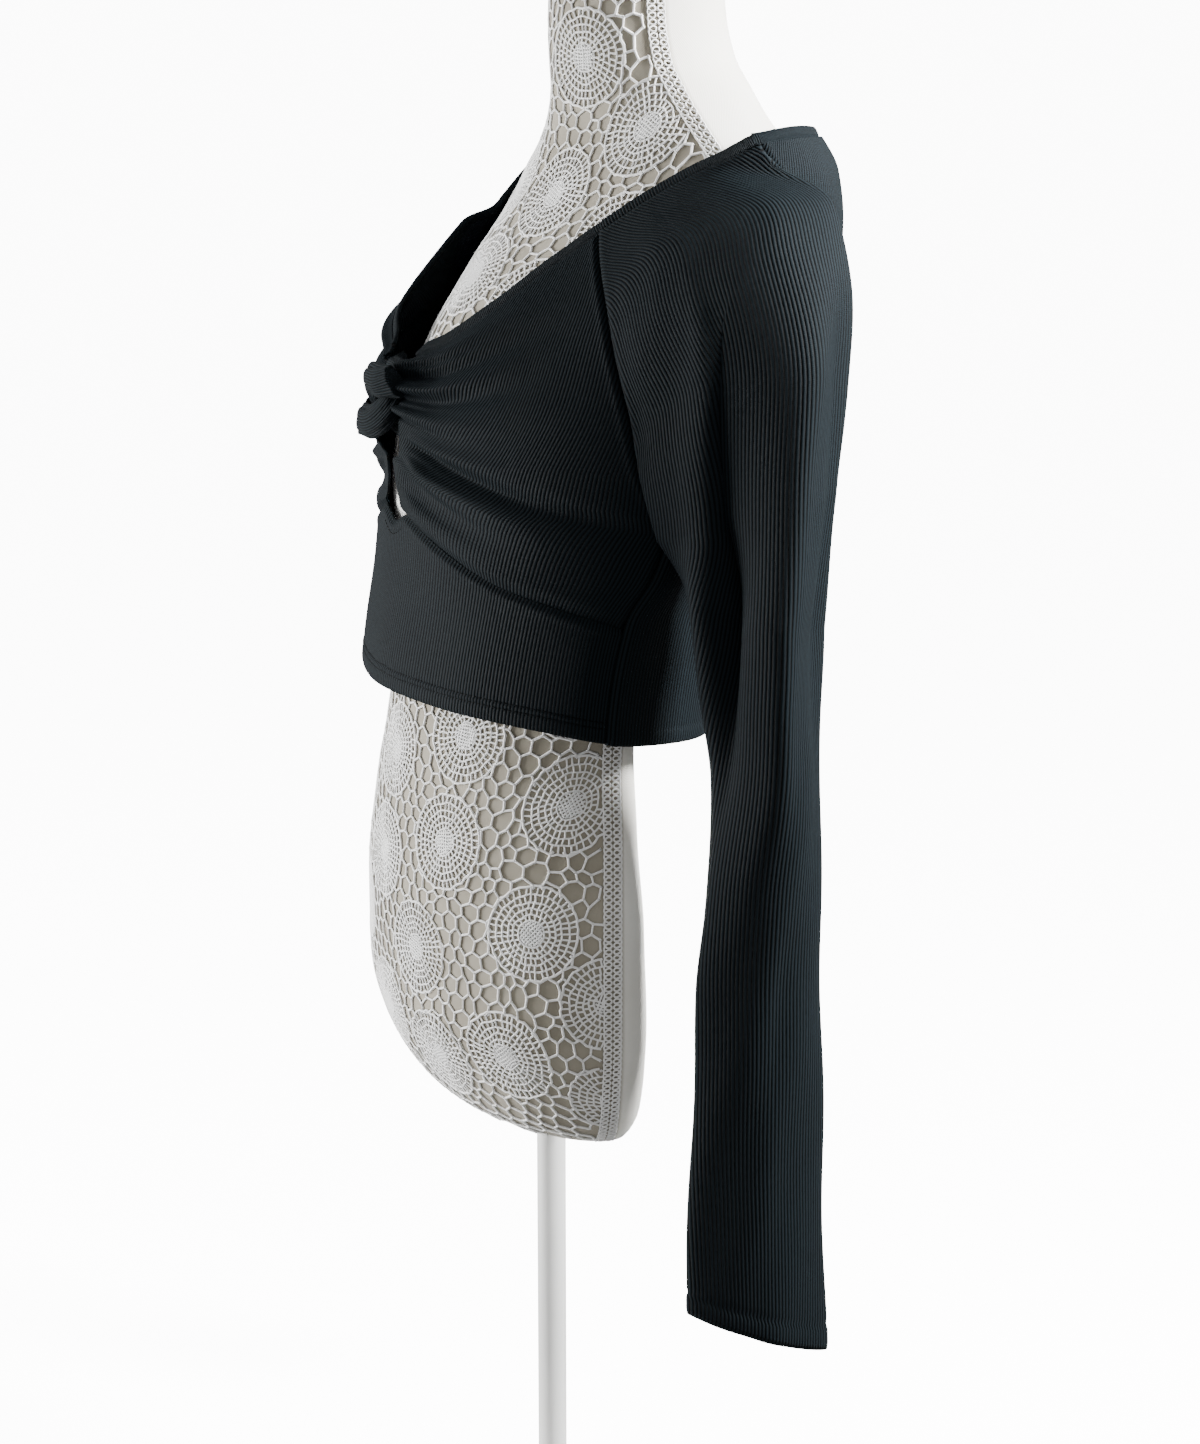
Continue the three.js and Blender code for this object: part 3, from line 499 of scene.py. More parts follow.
def backPlace(u, v):
    half = np.where(u < 0.5, u * 2, 2 - u * 2)
    top = evenly(backNeckSeam, half)
    lowShare = mix(0.5, 1, half)
    low = {"share": lowShare, "height": lookUp(hemLine, "share", lowShare)["height"]}
    armShare, hem, hemMiddle = backLook["armShare"], backLook["hem"], backLook["hemMiddle"]
    neck, neckMiddle = backLook["neck"], backLook["neckMiddle"]
    raglan = evenly(backRaglanSeam, np.clip((1 - v) / armShare, 0, 1))
    straight = mix(hem, underarmHeight, np.clip(v / (1 - armShare), 0, 1))
    side = {"share": np.where(v > 1 - armShare, raglan["share"], 0.5),
            "height": np.where(v > 1 - armShare, raglan["height"], straight)}
    centre = {"share": 1, "height": mix(hemMiddle, neckMiddle, v)}
    corners = {"share": (0.5, 1, 0.5, 1), "height": (hem, hemMiddle, neck, neckMiddle)}
    share, height = betweenEdges(low, top, side, centre, corners, half, v)
    above = (height - low["height"]) * smooth(1 - v * 4) + 100 * smooth(v * 4)
    rise = hemRise(above) + seamRoll(half * backLook["half"])
    fold = np.sin((half + 0.25 * v) * 17) * np.sin(math.pi * v) * smooth(half / 0.12)
    rise = rise + 1.4 * fold * smooth((1 - half) / 0.1)
    points = raised(share, height, rise)
    points[:, 0] = np.where(u > 0.5, -points[:, 0], points[:, 0])
    ribs = np.where(u > 0.5, 2 - share, share) * midriffLook["width"]
    return points, np.stack([ribs, height], axis=-1)


# Raglan sleeves
sleeveNeck = ((109, 30, 878), (123, 53, 893), (132, 68, 901))
sleeveCapRows = (
    ("share", "frontX", "frontY", "frontZ", "topX", "topY", "topZ", "rearX", "rearY", "rearZ"), (
        (0, *sleeveNeck[0], *sleeveNeck[1], *sleeveNeck[2]),
        (0.25, 136, 29, 853, 160, 76, 876, 153, 119, 876),
        (0.5, 152, 22, 808, 189, 72, 838, 175, 121, 834),
        (0.75, 165, 24, 756, 205, 70, 784, 184, 115, 781),
        (1, 174, 31, 703, 211, 68, 722, 188, 108, 722)))
# Sections from under the arm to the cuff; drop lowers the cuff at the back
sleeveTubeRows = (("height", "x", "y", "halfX", "halfY", "drop"), (
    (655, 184, 66, 31, 38, 6), (617, 185, 68, 30, 35, 3), (563, 185, 72, 28, 31, 2),
    (491, 185, 71, 25, 33, 2), (440, 184, 70, 22, 36, 4), (350, 184, 70, 18, 39, 8),
    (280, 184, 70, 16, 41, 13), (232, 184, 71, 15, 43, 18)))
# Long folds: place round the sleeve, turn on the way down, top, bottom, depth, width
sleeveFolds = (
    (0.485, -0.235, 872, 510, -24, 0.055), (0.37, -0.1, 860, 590, 3.5, 0.075),
    (0.57, -0.14, 875, 480, 8, 0.06), (0.69, -0.04, 860, 500, -6.5, 0.05), (0.5, 0.04, 560, 300, -3, 0.07))
sleeveLook = {"cap": 0.42, "crown": 0.56, "meeting": 0.12, "cuffRow": 14, "columns": 132, "rows": 230,
              "tubeTop": 655, "tubeBottom": 232, "slope": 1.12}


def capRow(t):
    front, rear = evenly(frontRaglanSeam, t), evenly(backRaglanSeam, t)
    row = lookUp(sleeveCapRows, "share", t)
    return np.stack([
        onBody(front["share"], front["height"]),
        stackXyz(row["frontX"], row["frontY"], row["frontZ"]),
        stackXyz(row["topX"], row["topY"], row["topZ"]),
        stackXyz(row["rearX"], row["rearY"], row["rearZ"]),
        onBody(rear["share"], rear["height"])])


def tubeRow(height):
    row = lookUp(sleeveTubeRows, "height", height)
    inner, front = row["x"] - row["halfX"], row["x"] - row["halfX"] * 0.072

    def point(x, y):
        return stackXyz(x, y, height - row["drop"] * (y - row["y"]) / row["halfY"])
    return np.stack([
        point(inner, row["y"] - row["halfY"] * 0.1), point(front, row["y"] - row["halfY"]),
        point(row["x"] + row["halfX"], row["y"]), point(front, row["y"] + row["halfY"]),
        point(inner, row["y"] - row["halfY"] * 0.1)])


def foldRise(u, height):
    rise = 0
    for around, turn, top, bottom, depth, width in sleeveFolds:
        down = np.clip((top - height) / (top - bottom), 0, 1)
        fold = depth * bump(u - around - turn * down, width)
        rise = rise + fold * smooth(down / 0.22) * smooth((1 - down) / 0.5)
    return rise


def sleeveSurface(u, v):
    cap, meeting = sleeveLook["cap"], sleeveLook["meeting"]
    t = np.clip(v / cap, 0, 1)
    down = np.clip((v - cap) / (1 - cap), 0, 1)
    below = np.clip((down - meeting) / (1 - meeting), 0, 1)
    tube = tubeRow(mix(sleeveLook["tubeTop"], sleeveLook["tubeBottom"], below))
    into = np.clip(down / meeting, 0, 1)[:, None]
    row = np.where(v[:, None] < cap, capRow(t), mix(capRow(np.ones_like(v)), tube, into))
    closed = np.where(v < cap, smooth((t - 0.55) / 0.45), 1)[:, None]
    before = mix(2 * row[0] - row[1], row[3], closed)
    after = mix(2 * row[4] - row[3], row[1], closed)
    points = alongPoints(np.concatenate([before[None], row, after[None]]), (1 + 4 * u) / 6)
    outward = points - (row[0] + row[2]) / 2
    outward[:, 2] = 0
    nearEdge = smooth(np.minimum(u, 1 - u) / 0.12) * smooth(v / 0.1)
    height = points[:, 2]
    rise = foldRise(u, height) * nearEdge
    rise = rise + 0.9 * np.sin(height * 0.046 + 3 * np.sin(u * 6.28)) * np.sin(u * 19) * nearEdge
    hollow = 1.5 * bump(v - 0.125, 0.035) - 2 * bump(v - 0.05, 0.03)
    rise = rise + hollow * smooth((u - 0.1) / 0.35) * smooth((0.75 - u) / 0.2) * smooth(v / 0.03)
    seam = np.minimum(u, 1 - u) * np.where(v < cap, 150, 190)
    rise = rise + seamRoll(seam) * np.where(v < cap, 1, 0.6)
    above = (1 - v) * (sleeveLook["tubeTop"] - sleeveLook["tubeBottom"]) / (1 - cap) * sleeveLook["slope"]
    rise = rise + 0.4 * smooth((sleeveLook["cuffRow"] - above) / 2) - 0.6 * bump(above, 1.4)
    rise = rise - 0.6 * bump(above - sleeveLook["cuffRow"], 0.8)
    return points + unit(outward) * rise[:, None]


# The rib coordinate is the cloth's own length round each row, from the crown of the sleeve
def sleevePlace(u, v):
    columns, rows = sleeveLook["columns"], sleeveLook["rows"]
    across, down = np.meshgrid(np.linspace(0, 1, columns + 1), np.linspace(0, 1, rows + 1))
    grid = sleeveSurface(across.ravel(), down.ravel()).reshape(rows + 1, columns + 1, 3)
    length, fall = runLength(grid, 1), runLength(grid)
    crown = length[:, round(sleeveLook["crown"] * columns)][:, None]
    i, j = np.round(u * columns).astype(int), np.round(v * rows).astype(int)
    return grid[j, i], np.stack([(length - crown)[j, i], fall[j, i]], axis=-1)


# Closed tubes swept from rings, for the band, the knot's rolls and the form's body
def sweptTube(name, rings, material, ribs):
    count, corners = rings.shape[:2]
    mesh = bmesh.new()
    bmesh.ops.create_grid(mesh, x_segments=corners, y_segments=count - 1, size=0.5)
    layer = mesh.loops.layers.uv.new("ribs")
    for vert in mesh.verts:
        i, j = round((vert.co.x + 0.5) * corners), round((vert.co.y + 0.5) * (count - 1))
        for loop in vert.link_loops:
            loop[layer].uv = ribs[j, i] * toMetres
        vert.co = rings[j, i % corners] * toMetres
    bmesh.ops.remove_doubles(mesh, verts=mesh.verts, dist=1e-6)
    bmesh.ops.holes_fill(mesh, edges=[edge for edge in mesh.edges if edge.is_boundary], sides=0)
    bmesh.ops.recalc_face_normals(mesh, faces=mesh.faces)
    for face in mesh.faces:
        face.smooth = len(face.verts) == 4
    return finishMesh(name, mesh, material)


# Neckband
neckBandTilts = (("at", "tilt"), ((0, 12), (0.2, 34), (0.42, 42), (0.55, 40), (0.7, 30), (1, 22)))
bandLook = {"width": 8, "half": 1.1, "steps": 150, "start": -0.2, "onFront": 0.42, "onSleeve": 0.62,
            "ribScale": (2.35 * 2.3, 2)}
# Rise and depth of the folded strip: its face is pulled in by the stitches near the seam
bandProfile = ((0, 0.3), (0.12, 0.75), (0.2, 0.45), (0.28, 0.95), (0.5, 1.2), (0.75, 1.15), (0.92, 0.8),
               (1, 0), (0.92, -0.8), (0.7, -1.1), (0.35, -1.1), (0, -1))


def onNeckline(t):
    onFront, onSleeve = bandLook["onFront"], bandLook["onSleeve"]
    front = evenly(frontNeckSeam, np.clip(t / onFront, 0, 1))
    back = evenly(backNeckSeam, np.clip((t - onSleeve) / (1 - onSleeve), 0, 1))
    top = sleeveSurface(np.clip((t - onFront) / (onSleeve - onFront), 0, 1), np.zeros_like(t))
    points = np.where((t < onFront)[:, None], onBody(front["share"], front["height"]), top)
    return np.where((t > onSleeve)[:, None], onBody(back["share"], back["height"]), points)


def neckBandRings(t, bulge=0):
    front = np.clip(t / bandLook["onFront"], 0, 1)
    seam = evenly(frontNeckSeam, front)
    forward = bulge * farBulge(front, 0) * (t < bandLook["onFront"])
    forward = bodyNormal(seam["share"], seam["height"]) * forward[:, None]
    here = onNeckline(t) + forward
    along = unit(onNeckline(np.minimum(1, t + 0.012)) - onNeckline(np.maximum(0, t - 0.012)))
    tilt = np.radians(lookUp(neckBandTilts, "at", t)["tilt"])
    flat = here - (0, 66, 0)
    flat[:, 2] = 0
    outward = unit(flat) * np.cos(tilt)[:, None] + np.stack([0 * t, 0 * t, np.sin(tilt)], axis=-1)
    across = unit(np.cross(outward, along))
    across = across * np.where(across[:, 2:] < 0, -1, 1)
    out = unit(np.cross(along, across))
    out = out * np.where((out * outward).sum(axis=1, keepdims=True) < 0, -1, 1)
    taper = (0.3 + 0.7 * smooth(t / 0.07))[:, None]
    start, width, half = bandLook["start"], bandLook["width"], bandLook["half"]
    rings = [here + across * (start + rise * width * taper) + out * (depth - 1) * half
             for rise, depth in bandProfile]
    return np.stack(rings, axis=1)


def addNeckBand():
    steps = bandLook["steps"]
    t = mix(0.015, 1, np.arange(steps + 1) / steps)
    rings = np.concatenate([neckBandRings(t), (neckBandRings(t, 1) * (-1, 1, 1))[-2::-1]])
    corners = len(bandProfile)
    acrossRibs, alongRibs = bandLook["ribScale"]
    length = np.arange(len(rings))[:, None] * acrossRibs
    ribs = np.stack(np.broadcast_arrays(length, np.arange(corners + 1)[None] * alongRibs), axis=-1)
    piece = sweptTube("neck_band_strip", rings, ribKnit, ribs)
    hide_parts("neck_band")
    return piece


# Twist knot: two rolls of gathered cloth linked through each other
knot = {"height": 760, "roll": 10.3, "bend": 18.8, "depthScale": 0.66, "centreY": -89.5, "legEnd": 31,
        "pleats": 7, "pleatDepth": 1.7, "corners": 70, "legSteps": 14, "turnSteps": 46, "between": 0.15,
        "twist": 1.1, "ribAcross": 1.25, "ribAlong": 130}


def addKnotRoll(name, node, side, tilt, phase):
    bend, roll = knot["bend"], knot["roll"]
    bendCentre = bend - roll - knot["between"]
    leg = np.linspace(knot["legEnd"], bendCentre, knot["legSteps"])[:-1]
    turns = np.linspace(0, math.pi, knot["turnSteps"])
    x = np.concatenate([leg, bendCentre - bend * np.sin(turns), leg[::-1]])
    w = np.concatenate([np.full(len(leg), bend), bend * np.cos(turns), np.full(len(leg), -bend)])
    turn = np.concatenate([np.zeros(len(leg)), turns, np.full(len(leg), math.pi)])[:, None]
    angle = (2 * math.pi * np.arange(knot["corners"]) / knot["corners"])[None]
    past = smooth((x - bendCentre - 6) / (knot["legEnd"] - bendCentre))[:, None]
    along = np.linspace(0, 1, len(x))[:, None]
    twisted = angle + phase + knot["twist"] * (along - 0.5)
    pleat = np.power(np.abs(np.sin(twisted * knot["pleats"] / 2)), 0.7)
    pleat = pleat * (0.75 + 0.25 * np.sin(twisted * 2 + 5 * along))
    reach = roll - knot["pleatDepth"] * (1 - pleat)
    inPlane = reach * np.cos(angle) * (1 + 0.3 * past)
    px = x[:, None] - np.sin(turn) * inPlane
    pw = w[:, None] * (1 + 0.1 * past) + np.cos(turn) * inPlane
    pn = reach * np.sin(angle) * (1 - 0.5 * past)
    y = pw * math.sin(tilt) + pn * math.cos(tilt)
    z = pw * math.cos(tilt) - pn * math.sin(tilt)
    rings = np.stack(np.broadcast_arrays(side * px, knot["centreY"] + y * knot["depthScale"] + past * 6,
                                         knot["height"] + z), axis=-1)
    edge = 2 * math.pi * roll / knot["corners"]
    around = np.arange(knot["corners"] + 1)[None] * edge * knot["ribAcross"]
    ribs = np.stack(np.broadcast_arrays(around, along * knot["ribAlong"]), axis=-1)
    piece = sweptTube(name, rings, ribKnit, ribs)
    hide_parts(node)
    return piece


# The overlocked edges behind a seam, a narrow strip on the inside
tapeLook = {"width": 11, "depth": 2.9, "thickness": 0.8}


def addSeamTape(name, seam, side):
    def place(u, v):
        t = mix(0.015, 0.985, u)
        at = evenly(seam, t)
        normal = bodyNormal(at["share"], at["height"])
        ahead, behind = (evenly(seam, np.clip(t + step, 0, 1)) for step in (0.01, -0.01))
        along = unit(onBody(ahead["share"], ahead["height"]) - onBody(behind["share"], behind["height"]))
        across = unit(np.cross(normal, along))
        points = onBody(at["share"], at["height"]) - normal * tapeLook["depth"]
        points = points + across * ((v - 0.5) * tapeLook["width"])[:, None]
        return points * (side, 1, 1), np.stack([v * tapeLook["width"], u * 200], axis=-1)
    piece = clothSheet(name, 60, 4, place, ribKnit, (0, 60), tapeLook["thickness"])[0]
    return piece


# The top, piece by piece
areas = {}


def addPanel(name, node, columns, rows, place, middle):
    piece, areas[name] = clothSheet(name, columns, rows, place, ribKnit, middle)
    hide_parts(node)
    return piece


leftCup, rightCup = cupPlace(cupLook["leftRoll"]), mirrored(cupPlace(cupLook["rightRoll"], 1))
sleeveSize = (sleeveLook["columns"], sleeveLook["rows"])
panels = [
    addPanel("bust_left_panel", "bust_left", 120, 120, leftCup, (0, 60)),
    addPanel("bust_right_panel", "bust_right", 120, 120, rightCup, (0, 60)),
    addPanel("midriff_panel", "midriff_front", 220, 110, midriffPlace, (0, 60)),
    addPanel("back_cloth", "back_panel", 150, 220, backPlace, (0, 60)),
    addPanel("sleeve_left_cloth", "sleeve_left", *sleeveSize, sleevePlace, (170, 68)),
    addPanel("sleeve_right_cloth", "sleeve_right", *sleeveSize, mirrored(sleevePlace), (-170, 68))]
tapes = {side: [] for side in (1, -1)}
for side, word in ((1, "left"), (-1, "right")):
    for name, seam in (("raglan_tape_front", frontRaglanSeam), ("raglan_tape_back", backRaglanSeam),
                       ("side_tape", sideSeam), ("underbust_tape", underbustSeam)):
        tapes[side].append(addSeamTape(f"{name}_{word}", seam, side))
addNeckBand()
addKnotRoll("knot_left_roll", "knot_left", 1, -math.pi / 4, 0.2)
addKnotRoll("knot_right_roll", "knot_right", -1, math.pi / 4, 0.5)
print("top ready", {name: round(area, 4) for name, area in areas.items()})


# The dress form
formSections = (("height", "half", "front", "side", "back", "round", "roundBack"), (
    (328, 104, -30, 8, 36, 2, 2), (334, 119, -56, 6, 40, 2, 2), (350, 133, -76, 4, 43, 2.1, 2.1),
    (377, 143, -90, 2, 44, 2.1, 2.1), (405, 148, -97, 1, 44, 2.1, 2.1), (460, 148, -99, 1, 43, 2, 2),
    (520, 137, -94, 5, 38, 2, 2), (565, 124, -87, 9, 38, 2, 2), (610, 120, -81, 14, 46, 2, 2),
    (660, 126, -79, 22, 62, 2, 2), (710, 132, -83, 32, 84, 1.9, 2), (755, 136, -76, 42, 108, 1.8, 2),
    (790, 137, -62, 50, 130, 1.7, 2), (830, 138, -37, 60, 147, 1.65, 2), (864, 137, -12, 70, 155, 1.6, 2),
    (885, 135, 1, 72, 153, 1.57, 2), (902, 122, 8, 70, 146, 1.46, 2), (918, 100, 11, 67, 136, 1.41, 2),
    (935, 76, 12, 65, 129, 1.5, 2), (952, 61, 12, 62, 121, 1.8, 2), (975, 54, 12, 61, 116, 2, 2),
    (1000, 52, 13, 61, 114, 2, 2)))
formLook = {"inset": 1.5, "columns": 160, "rows": 150, "capRise": 4, "low": 328, "high": 1000}


def onForm(angle, height):
    row = lookUp(formSections, "height", height)
    c, n = np.cos(angle), np.sin(angle)
    power = 2 / np.where(n < 0, row["round"], row["roundBack"])
    depth = np.where(n < 0, row["side"] - row["front"], row["back"] - row["side"])
    x = row["half"] * np.sign(c) * np.power(np.abs(c), power)
    y = row["side"] + depth * np.sign(n) * np.power(np.abs(n), power)
    return stackXyz(x, y, height)


def formNormal(angle, height):
    around = onForm(angle + 0.03, height) - onForm(angle - 0.03, height)
    above, below = np.minimum(height + 2, formLook["high"]), np.maximum(height - 2, formLook["low"])
    return unit(np.cross(around, onForm(angle, above) - onForm(angle, below)))


# The lace lies flat on the front: width is measured round from the centre line, length up the centre line
class FormFront:
    heights = np.linspace(330, 1000, 168)
    fractions = np.linspace(-1, 1, 201)

    def __init__(self):
        self.lengths = runLength(onForm(np.full(len(self.heights), -math.pi / 2), self.heights))
        angle = np.linspace(-math.pi, 0, 361)
        self.halfWidths, self.angles = [], []
        for height in self.heights:
            around = runLength(onForm(angle, np.full(len(angle), height)))
            half = around[-1] / 2
            self.halfWidths.append(half)
            self.angles.append(np.interp(self.fractions, around / half - 1, angle))
        self.halfWidths, self.angles = np.array(self.halfWidths), np.array(self.angles)

    def heightAt(self, length):
        return np.interp(length, self.lengths, self.heights)

    def lengthAt(self, height):
        return np.interp(height, self.heights, self.lengths)

    def halfWidthAt(self, length):
        return np.interp(length, self.lengths, self.halfWidths)

    def angleAt(self, width, length):
        rows, steps = len(self.heights), len(self.fractions) - 1
        share = np.interp(length, self.lengths, np.arange(rows))
        i = np.clip(np.floor(share).astype(int), 0, rows - 2)
        f = share - i
        across = np.clip(width / self.halfWidthAt(length), -1, 1) * steps / 2 + steps / 2
        k = np.clip(np.floor(across).astype(int), 0, steps - 1)
        g = across - k
        low = mix(self.angles[i, k], self.angles[i, k + 1], g)
        high = mix(self.angles[i + 1, k], self.angles[i + 1, k + 1], g)
        return mix(low, high, f)

    def place(self, width, length, lift):
        angle, height = self.angleAt(width, length), self.heightAt(length)
        return onForm(angle, height) + formNormal(angle, height) * np.asarray(lift)[..., None]


formFront = FormFront()


def addForm():
    rows, columns = formLook["rows"], formLook["columns"]
    angle = np.tile(2 * math.pi * np.arange(columns) / columns, rows + 1)
    height = np.repeat(np.linspace(formLook["low"], formLook["high"], rows + 1), columns)
    body = onForm(angle, height) - formNormal(angle, height) * formLook["inset"]
    body = body.reshape(rows + 1, columns, 3)
    body[0, :, 2] = formLook["low"] + 0.4
    low, high = body[0], body[-1]
    lowMiddle, highMiddle = low.mean(axis=0), high.mean(axis=0)
    under = [lowMiddle + (low - lowMiddle) * k for k in (0.02, 0.5, 0.97)]
    over = [highMiddle + (high - highMiddle) * k + (0, 0, formLook["capRise"] * rise)
            for k, rise in ((0.99, 0.35), (0.95, 0.75), (0.8, 1), (0.4, 1.05), (0.02, 1.1))]
    rings = np.concatenate([np.array(under), body, np.array(over)])
    corner = 2 * math.pi * np.arange(columns + 1) / columns
    # Front of the form, under the lace: the mask for the cover's painted shade
    front = smooth(-np.sin(corner) * 40 + 0.5)
    ribs = np.stack(np.broadcast_arrays(front[None], np.arange(len(rings))[:, None]), axis=-1) / toMetres
    piece = sweptTube("form_body", rings, formCloth, ribs)
    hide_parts("dress_form")


# Crochet lace over the form's front
# Middles of the round motifs, measured round from the centre line and up it
motifCentres = (
    (72, 210), (150, 241), (142, 168), (50, 141), (124, 91), (188, 128), (74, 273), (0, 188), (62, 76),
    (182, 60), (-2, 90), (2, 250), (-70, 214), (-146, 240), (-139, 170), (-50, 146), (-122, 96),
    (-186, 128), (-73, 277), (-62, 80), (-180, 60), (140, 305), (-140, 305), (0, 318), (0, 400), (30, 675),
    (82, 639), (31, 597), (-38, 664), (-86, 630), (-33, 598), (98, 575), (-98, 572), (0, 540), (62, 528),
    (-62, 526), (128, 520), (-128, 520))
motifLook = {"rings": (8, 11.2, 14.6, 18.4, 22.6, 27), "spokes": (20, 26, 32, 38, 42), "centre": 7.2,
             "mesh": 1.9, "thread": 0.62, "thick": 0.8, "wobble": 0.5}
netLook = {"spacing": 10.5, "jitter": 3.4, "thread": 0.78, "bobble": 1.25}
laceEdges = {"ragged": 24, "hem": 622, "neckline": 752, "opening": 48, "trim": 11, "top": 998}
# How far the middles of the threads lie off the cover's outer line; below zero is towards the cover
laceLift = {"fine": -0.85, "net": -0.8, "heavy": -0.75, "trim": -0.55, "bobble": (-1.6, 0)}


# Whether lace is wanted there: on the front, off the cloth's far side, above the ragged lower edge
def laceShows(width, length):
    height = formFront.heightAt(length)
    ragged = laceEdges["ragged"] + 5 * np.sin(width * 0.17) + 3 * np.sin(width * 0.43)
    far = np.abs(width)
    seen = (height < laceEdges["hem"]) | (height > laceEdges["neckline"]) | (far < laceEdges["opening"])
    inside = (length > ragged) & (height < laceEdges["top"])
    return inside & (far < formFront.halfWidthAt(length) - laceEdges["trim"]) & seen


def motifThreads(centre, dice):
    threads = []
    turn = dice.uniform(0, math.tau)
    rings = motifLook["rings"]
    for ring in rings:
        angles = np.linspace(0, math.tau, 56 if ring > 14 else 34)
        scallop = 1 + (0.035 * np.abs(np.sin(angles * 10.5 + turn)) if ring == rings[-1] else 0 * angles)
        threads.append((ring * scallop * np.cos(angles), ring * scallop * np.sin(angles)))
    for inner, outer, count in zip(rings, rings[1:], motifLook["spokes"]):
        for k in range(count):
            angle = turn + math.tau * (k + dice.uniform(-0.1, 0.1)) / count + inner
            bend = angle + dice.uniform(-0.03, 0.03)
            threads.append((np.array([inner * math.cos(angle), outer * math.cos(bend)]),
                            np.array([inner * math.sin(angle), outer * math.sin(bend)])))
    reach = motifLook["centre"]
    for step in np.arange(-reach + 1, reach, motifLook["mesh"]):
        half = math.sqrt(max(reach**2 - step**2, 0.1))
        ends = np.linspace(-half, half, 4)
        threads.append((ends, np.full(4, step)))
        threads.append((np.full(4, step), ends))
    slant = dice.uniform(0, math.pi)
    cosine, sine = math.cos(slant), math.sin(slant)
    wobble = motifLook["wobble"]
    placed = []
    for x, y in threads:
        shake = wobble * np.sin(0.5 * x + centre[0]) * np.cos(0.45 * y + centre[1])
        placed.append(np.stack([centre[0] + cosine * x - sine * y + shake,
                                centre[1] + sine * x + cosine * y - shake], axis=-1))
    return placed


# The net between the motifs: an open mesh of irregular holes, cut off where a motif begins
def netThreads(dice):
    seeds = []
    spacing, jitter = netLook["spacing"], netLook["jitter"]
    for row, length in enumerate(np.arange(18, 725, spacing * 0.87)):
        for width in np.arange(-200, 201, spacing):
            seeds.append(Vector((width + (row % 2) * spacing / 2 + dice.uniform(-jitter, jitter),
                                 length + dice.uniform(-jitter, jitter))))
    made = delaunay_2d_cdt(seeds, [], [], 0, 0.01)
    points, faces = made[0], made[2]
    middles = [sum((points[i] for i in face), Vector((0, 0))) / len(face) for face in faces]
    beside = {}
    for n, face in enumerate(faces):
        for a, b in zip(face, face[1:] + face[:1]):
            beside.setdefault((min(a, b), max(a, b)), []).append(n)
    motifs = np.array(motifCentres, float)
    reach = motifLook["rings"][-1]
    threads, knots = [], []
    for pair in beside.values():
        if len(pair) != 2:
            continue
        line = np.linspace(middles[pair[0]], middles[pair[1]], 7)
        away = np.linalg.norm(line[:, None] - motifs[None], axis=-1).min(axis=1)
        outside = line[away > reach - 0.6]
        if len(outside) < 2:
            continue
        threads.append(outside[[0, -1]])
        knots.append(outside[0])
    return threads, knots


# Threads as one curve of many short splines with a four-sided bevel, turned into a mesh
def threadPiece(name, groups, material):
    data = bpy.data.curves.new(name, "CURVE")
    data.dimensions = "3D"
    data.bevel_depth = 1
    data.bevel_resolution = 0
    for threads, radii in groups:
        for thread in threads:
            count = len(thread)
            places = np.concatenate([thread * toMetres, np.ones((count, 1))], axis=1)
            spline = data.splines.new("POLY")
            spline.points.add(count - 1)
            spline.points.foreach_set("co", places.ravel())
            spline.points.foreach_set("radius", np.resize(radii, count) * toMetres)
    curve = addObject(name + "_path", data)
    made = bpy.data.meshes.new_from_object(curve.evaluated_get(bpy.context.evaluated_depsgraph_get()))
    bpy.data.objects.remove(curve)
    mesh = bmesh.new()
    mesh.from_mesh(made)
    bpy.data.meshes.remove(made)
    for face in mesh.faces:
        face.smooth = True
    return finishMesh(name, mesh, material)


# Flat threads laid on the form's front, lifted a little off its cover
def onFront(threads, lift):
    flat = np.concatenate(threads)
    places = formFront.place(flat[:, 0], flat[:, 1], np.full(len(flat), float(lift)))
    return np.split(places, np.cumsum([len(thread) for thread in threads])[:-1])


def addLace():
    dice = random.Random(11)
    fine, heavy = [], []
    for centre in motifCentres:
        for n, thread in enumerate(motifThreads(centre, dice)):
            shown = laceShows(thread[:, 0], thread[:, 1])
            runs = np.split(np.arange(len(thread)), np.flatnonzero(np.diff(shown.astype(int))) + 1)
            for run in runs:
                if len(run) > 1 and shown[run[0]]:
                    (heavy if n == 5 else fine).append(thread[run])
    net, knots = netThreads(dice)
    net = [thread for thread in net if laceShows(thread[:, 0], thread[:, 1]).all()]
    knots = [place for place in knots if laceShows(*np.array(place)[:, None])[0]]
    for name, low, high in (("lace_lower", 0, 360), ("lace_upper", 360, 800)):
        def within(threads):
            return [thread for thread in threads if low <= thread[0][1] < high]
        places = np.array(within([place[None] for place in knots])).reshape(-1, 2)
        bases, tips = (onFront([places], lift)[0] for lift in laceLift["bobble"])
        bobbles = [np.array([base, (base + tip) / 2, tip]) for base, tip in zip(bases, tips)]
        piece = threadPiece(name, (
            (onFront(within(fine), laceLift["fine"]), motifLook["thread"]),
            (onFront(within(heavy), laceLift["heavy"]), motifLook["thick"]),
            (onFront(within(net), laceLift["net"]), netLook["thread"]),
            (bobbles, (0.4, netLook["bobble"], 0.4))), laceThread)
        print(name, "ready")


# Braided trim down each side of the lace: two chains of loops
trimLook = {"inset": 6.4, "apart": 2.9, "loop": 2.3, "pitch": 3.7, "thread": 0.62,
            "spans": ((20, 318), (560, 719))}


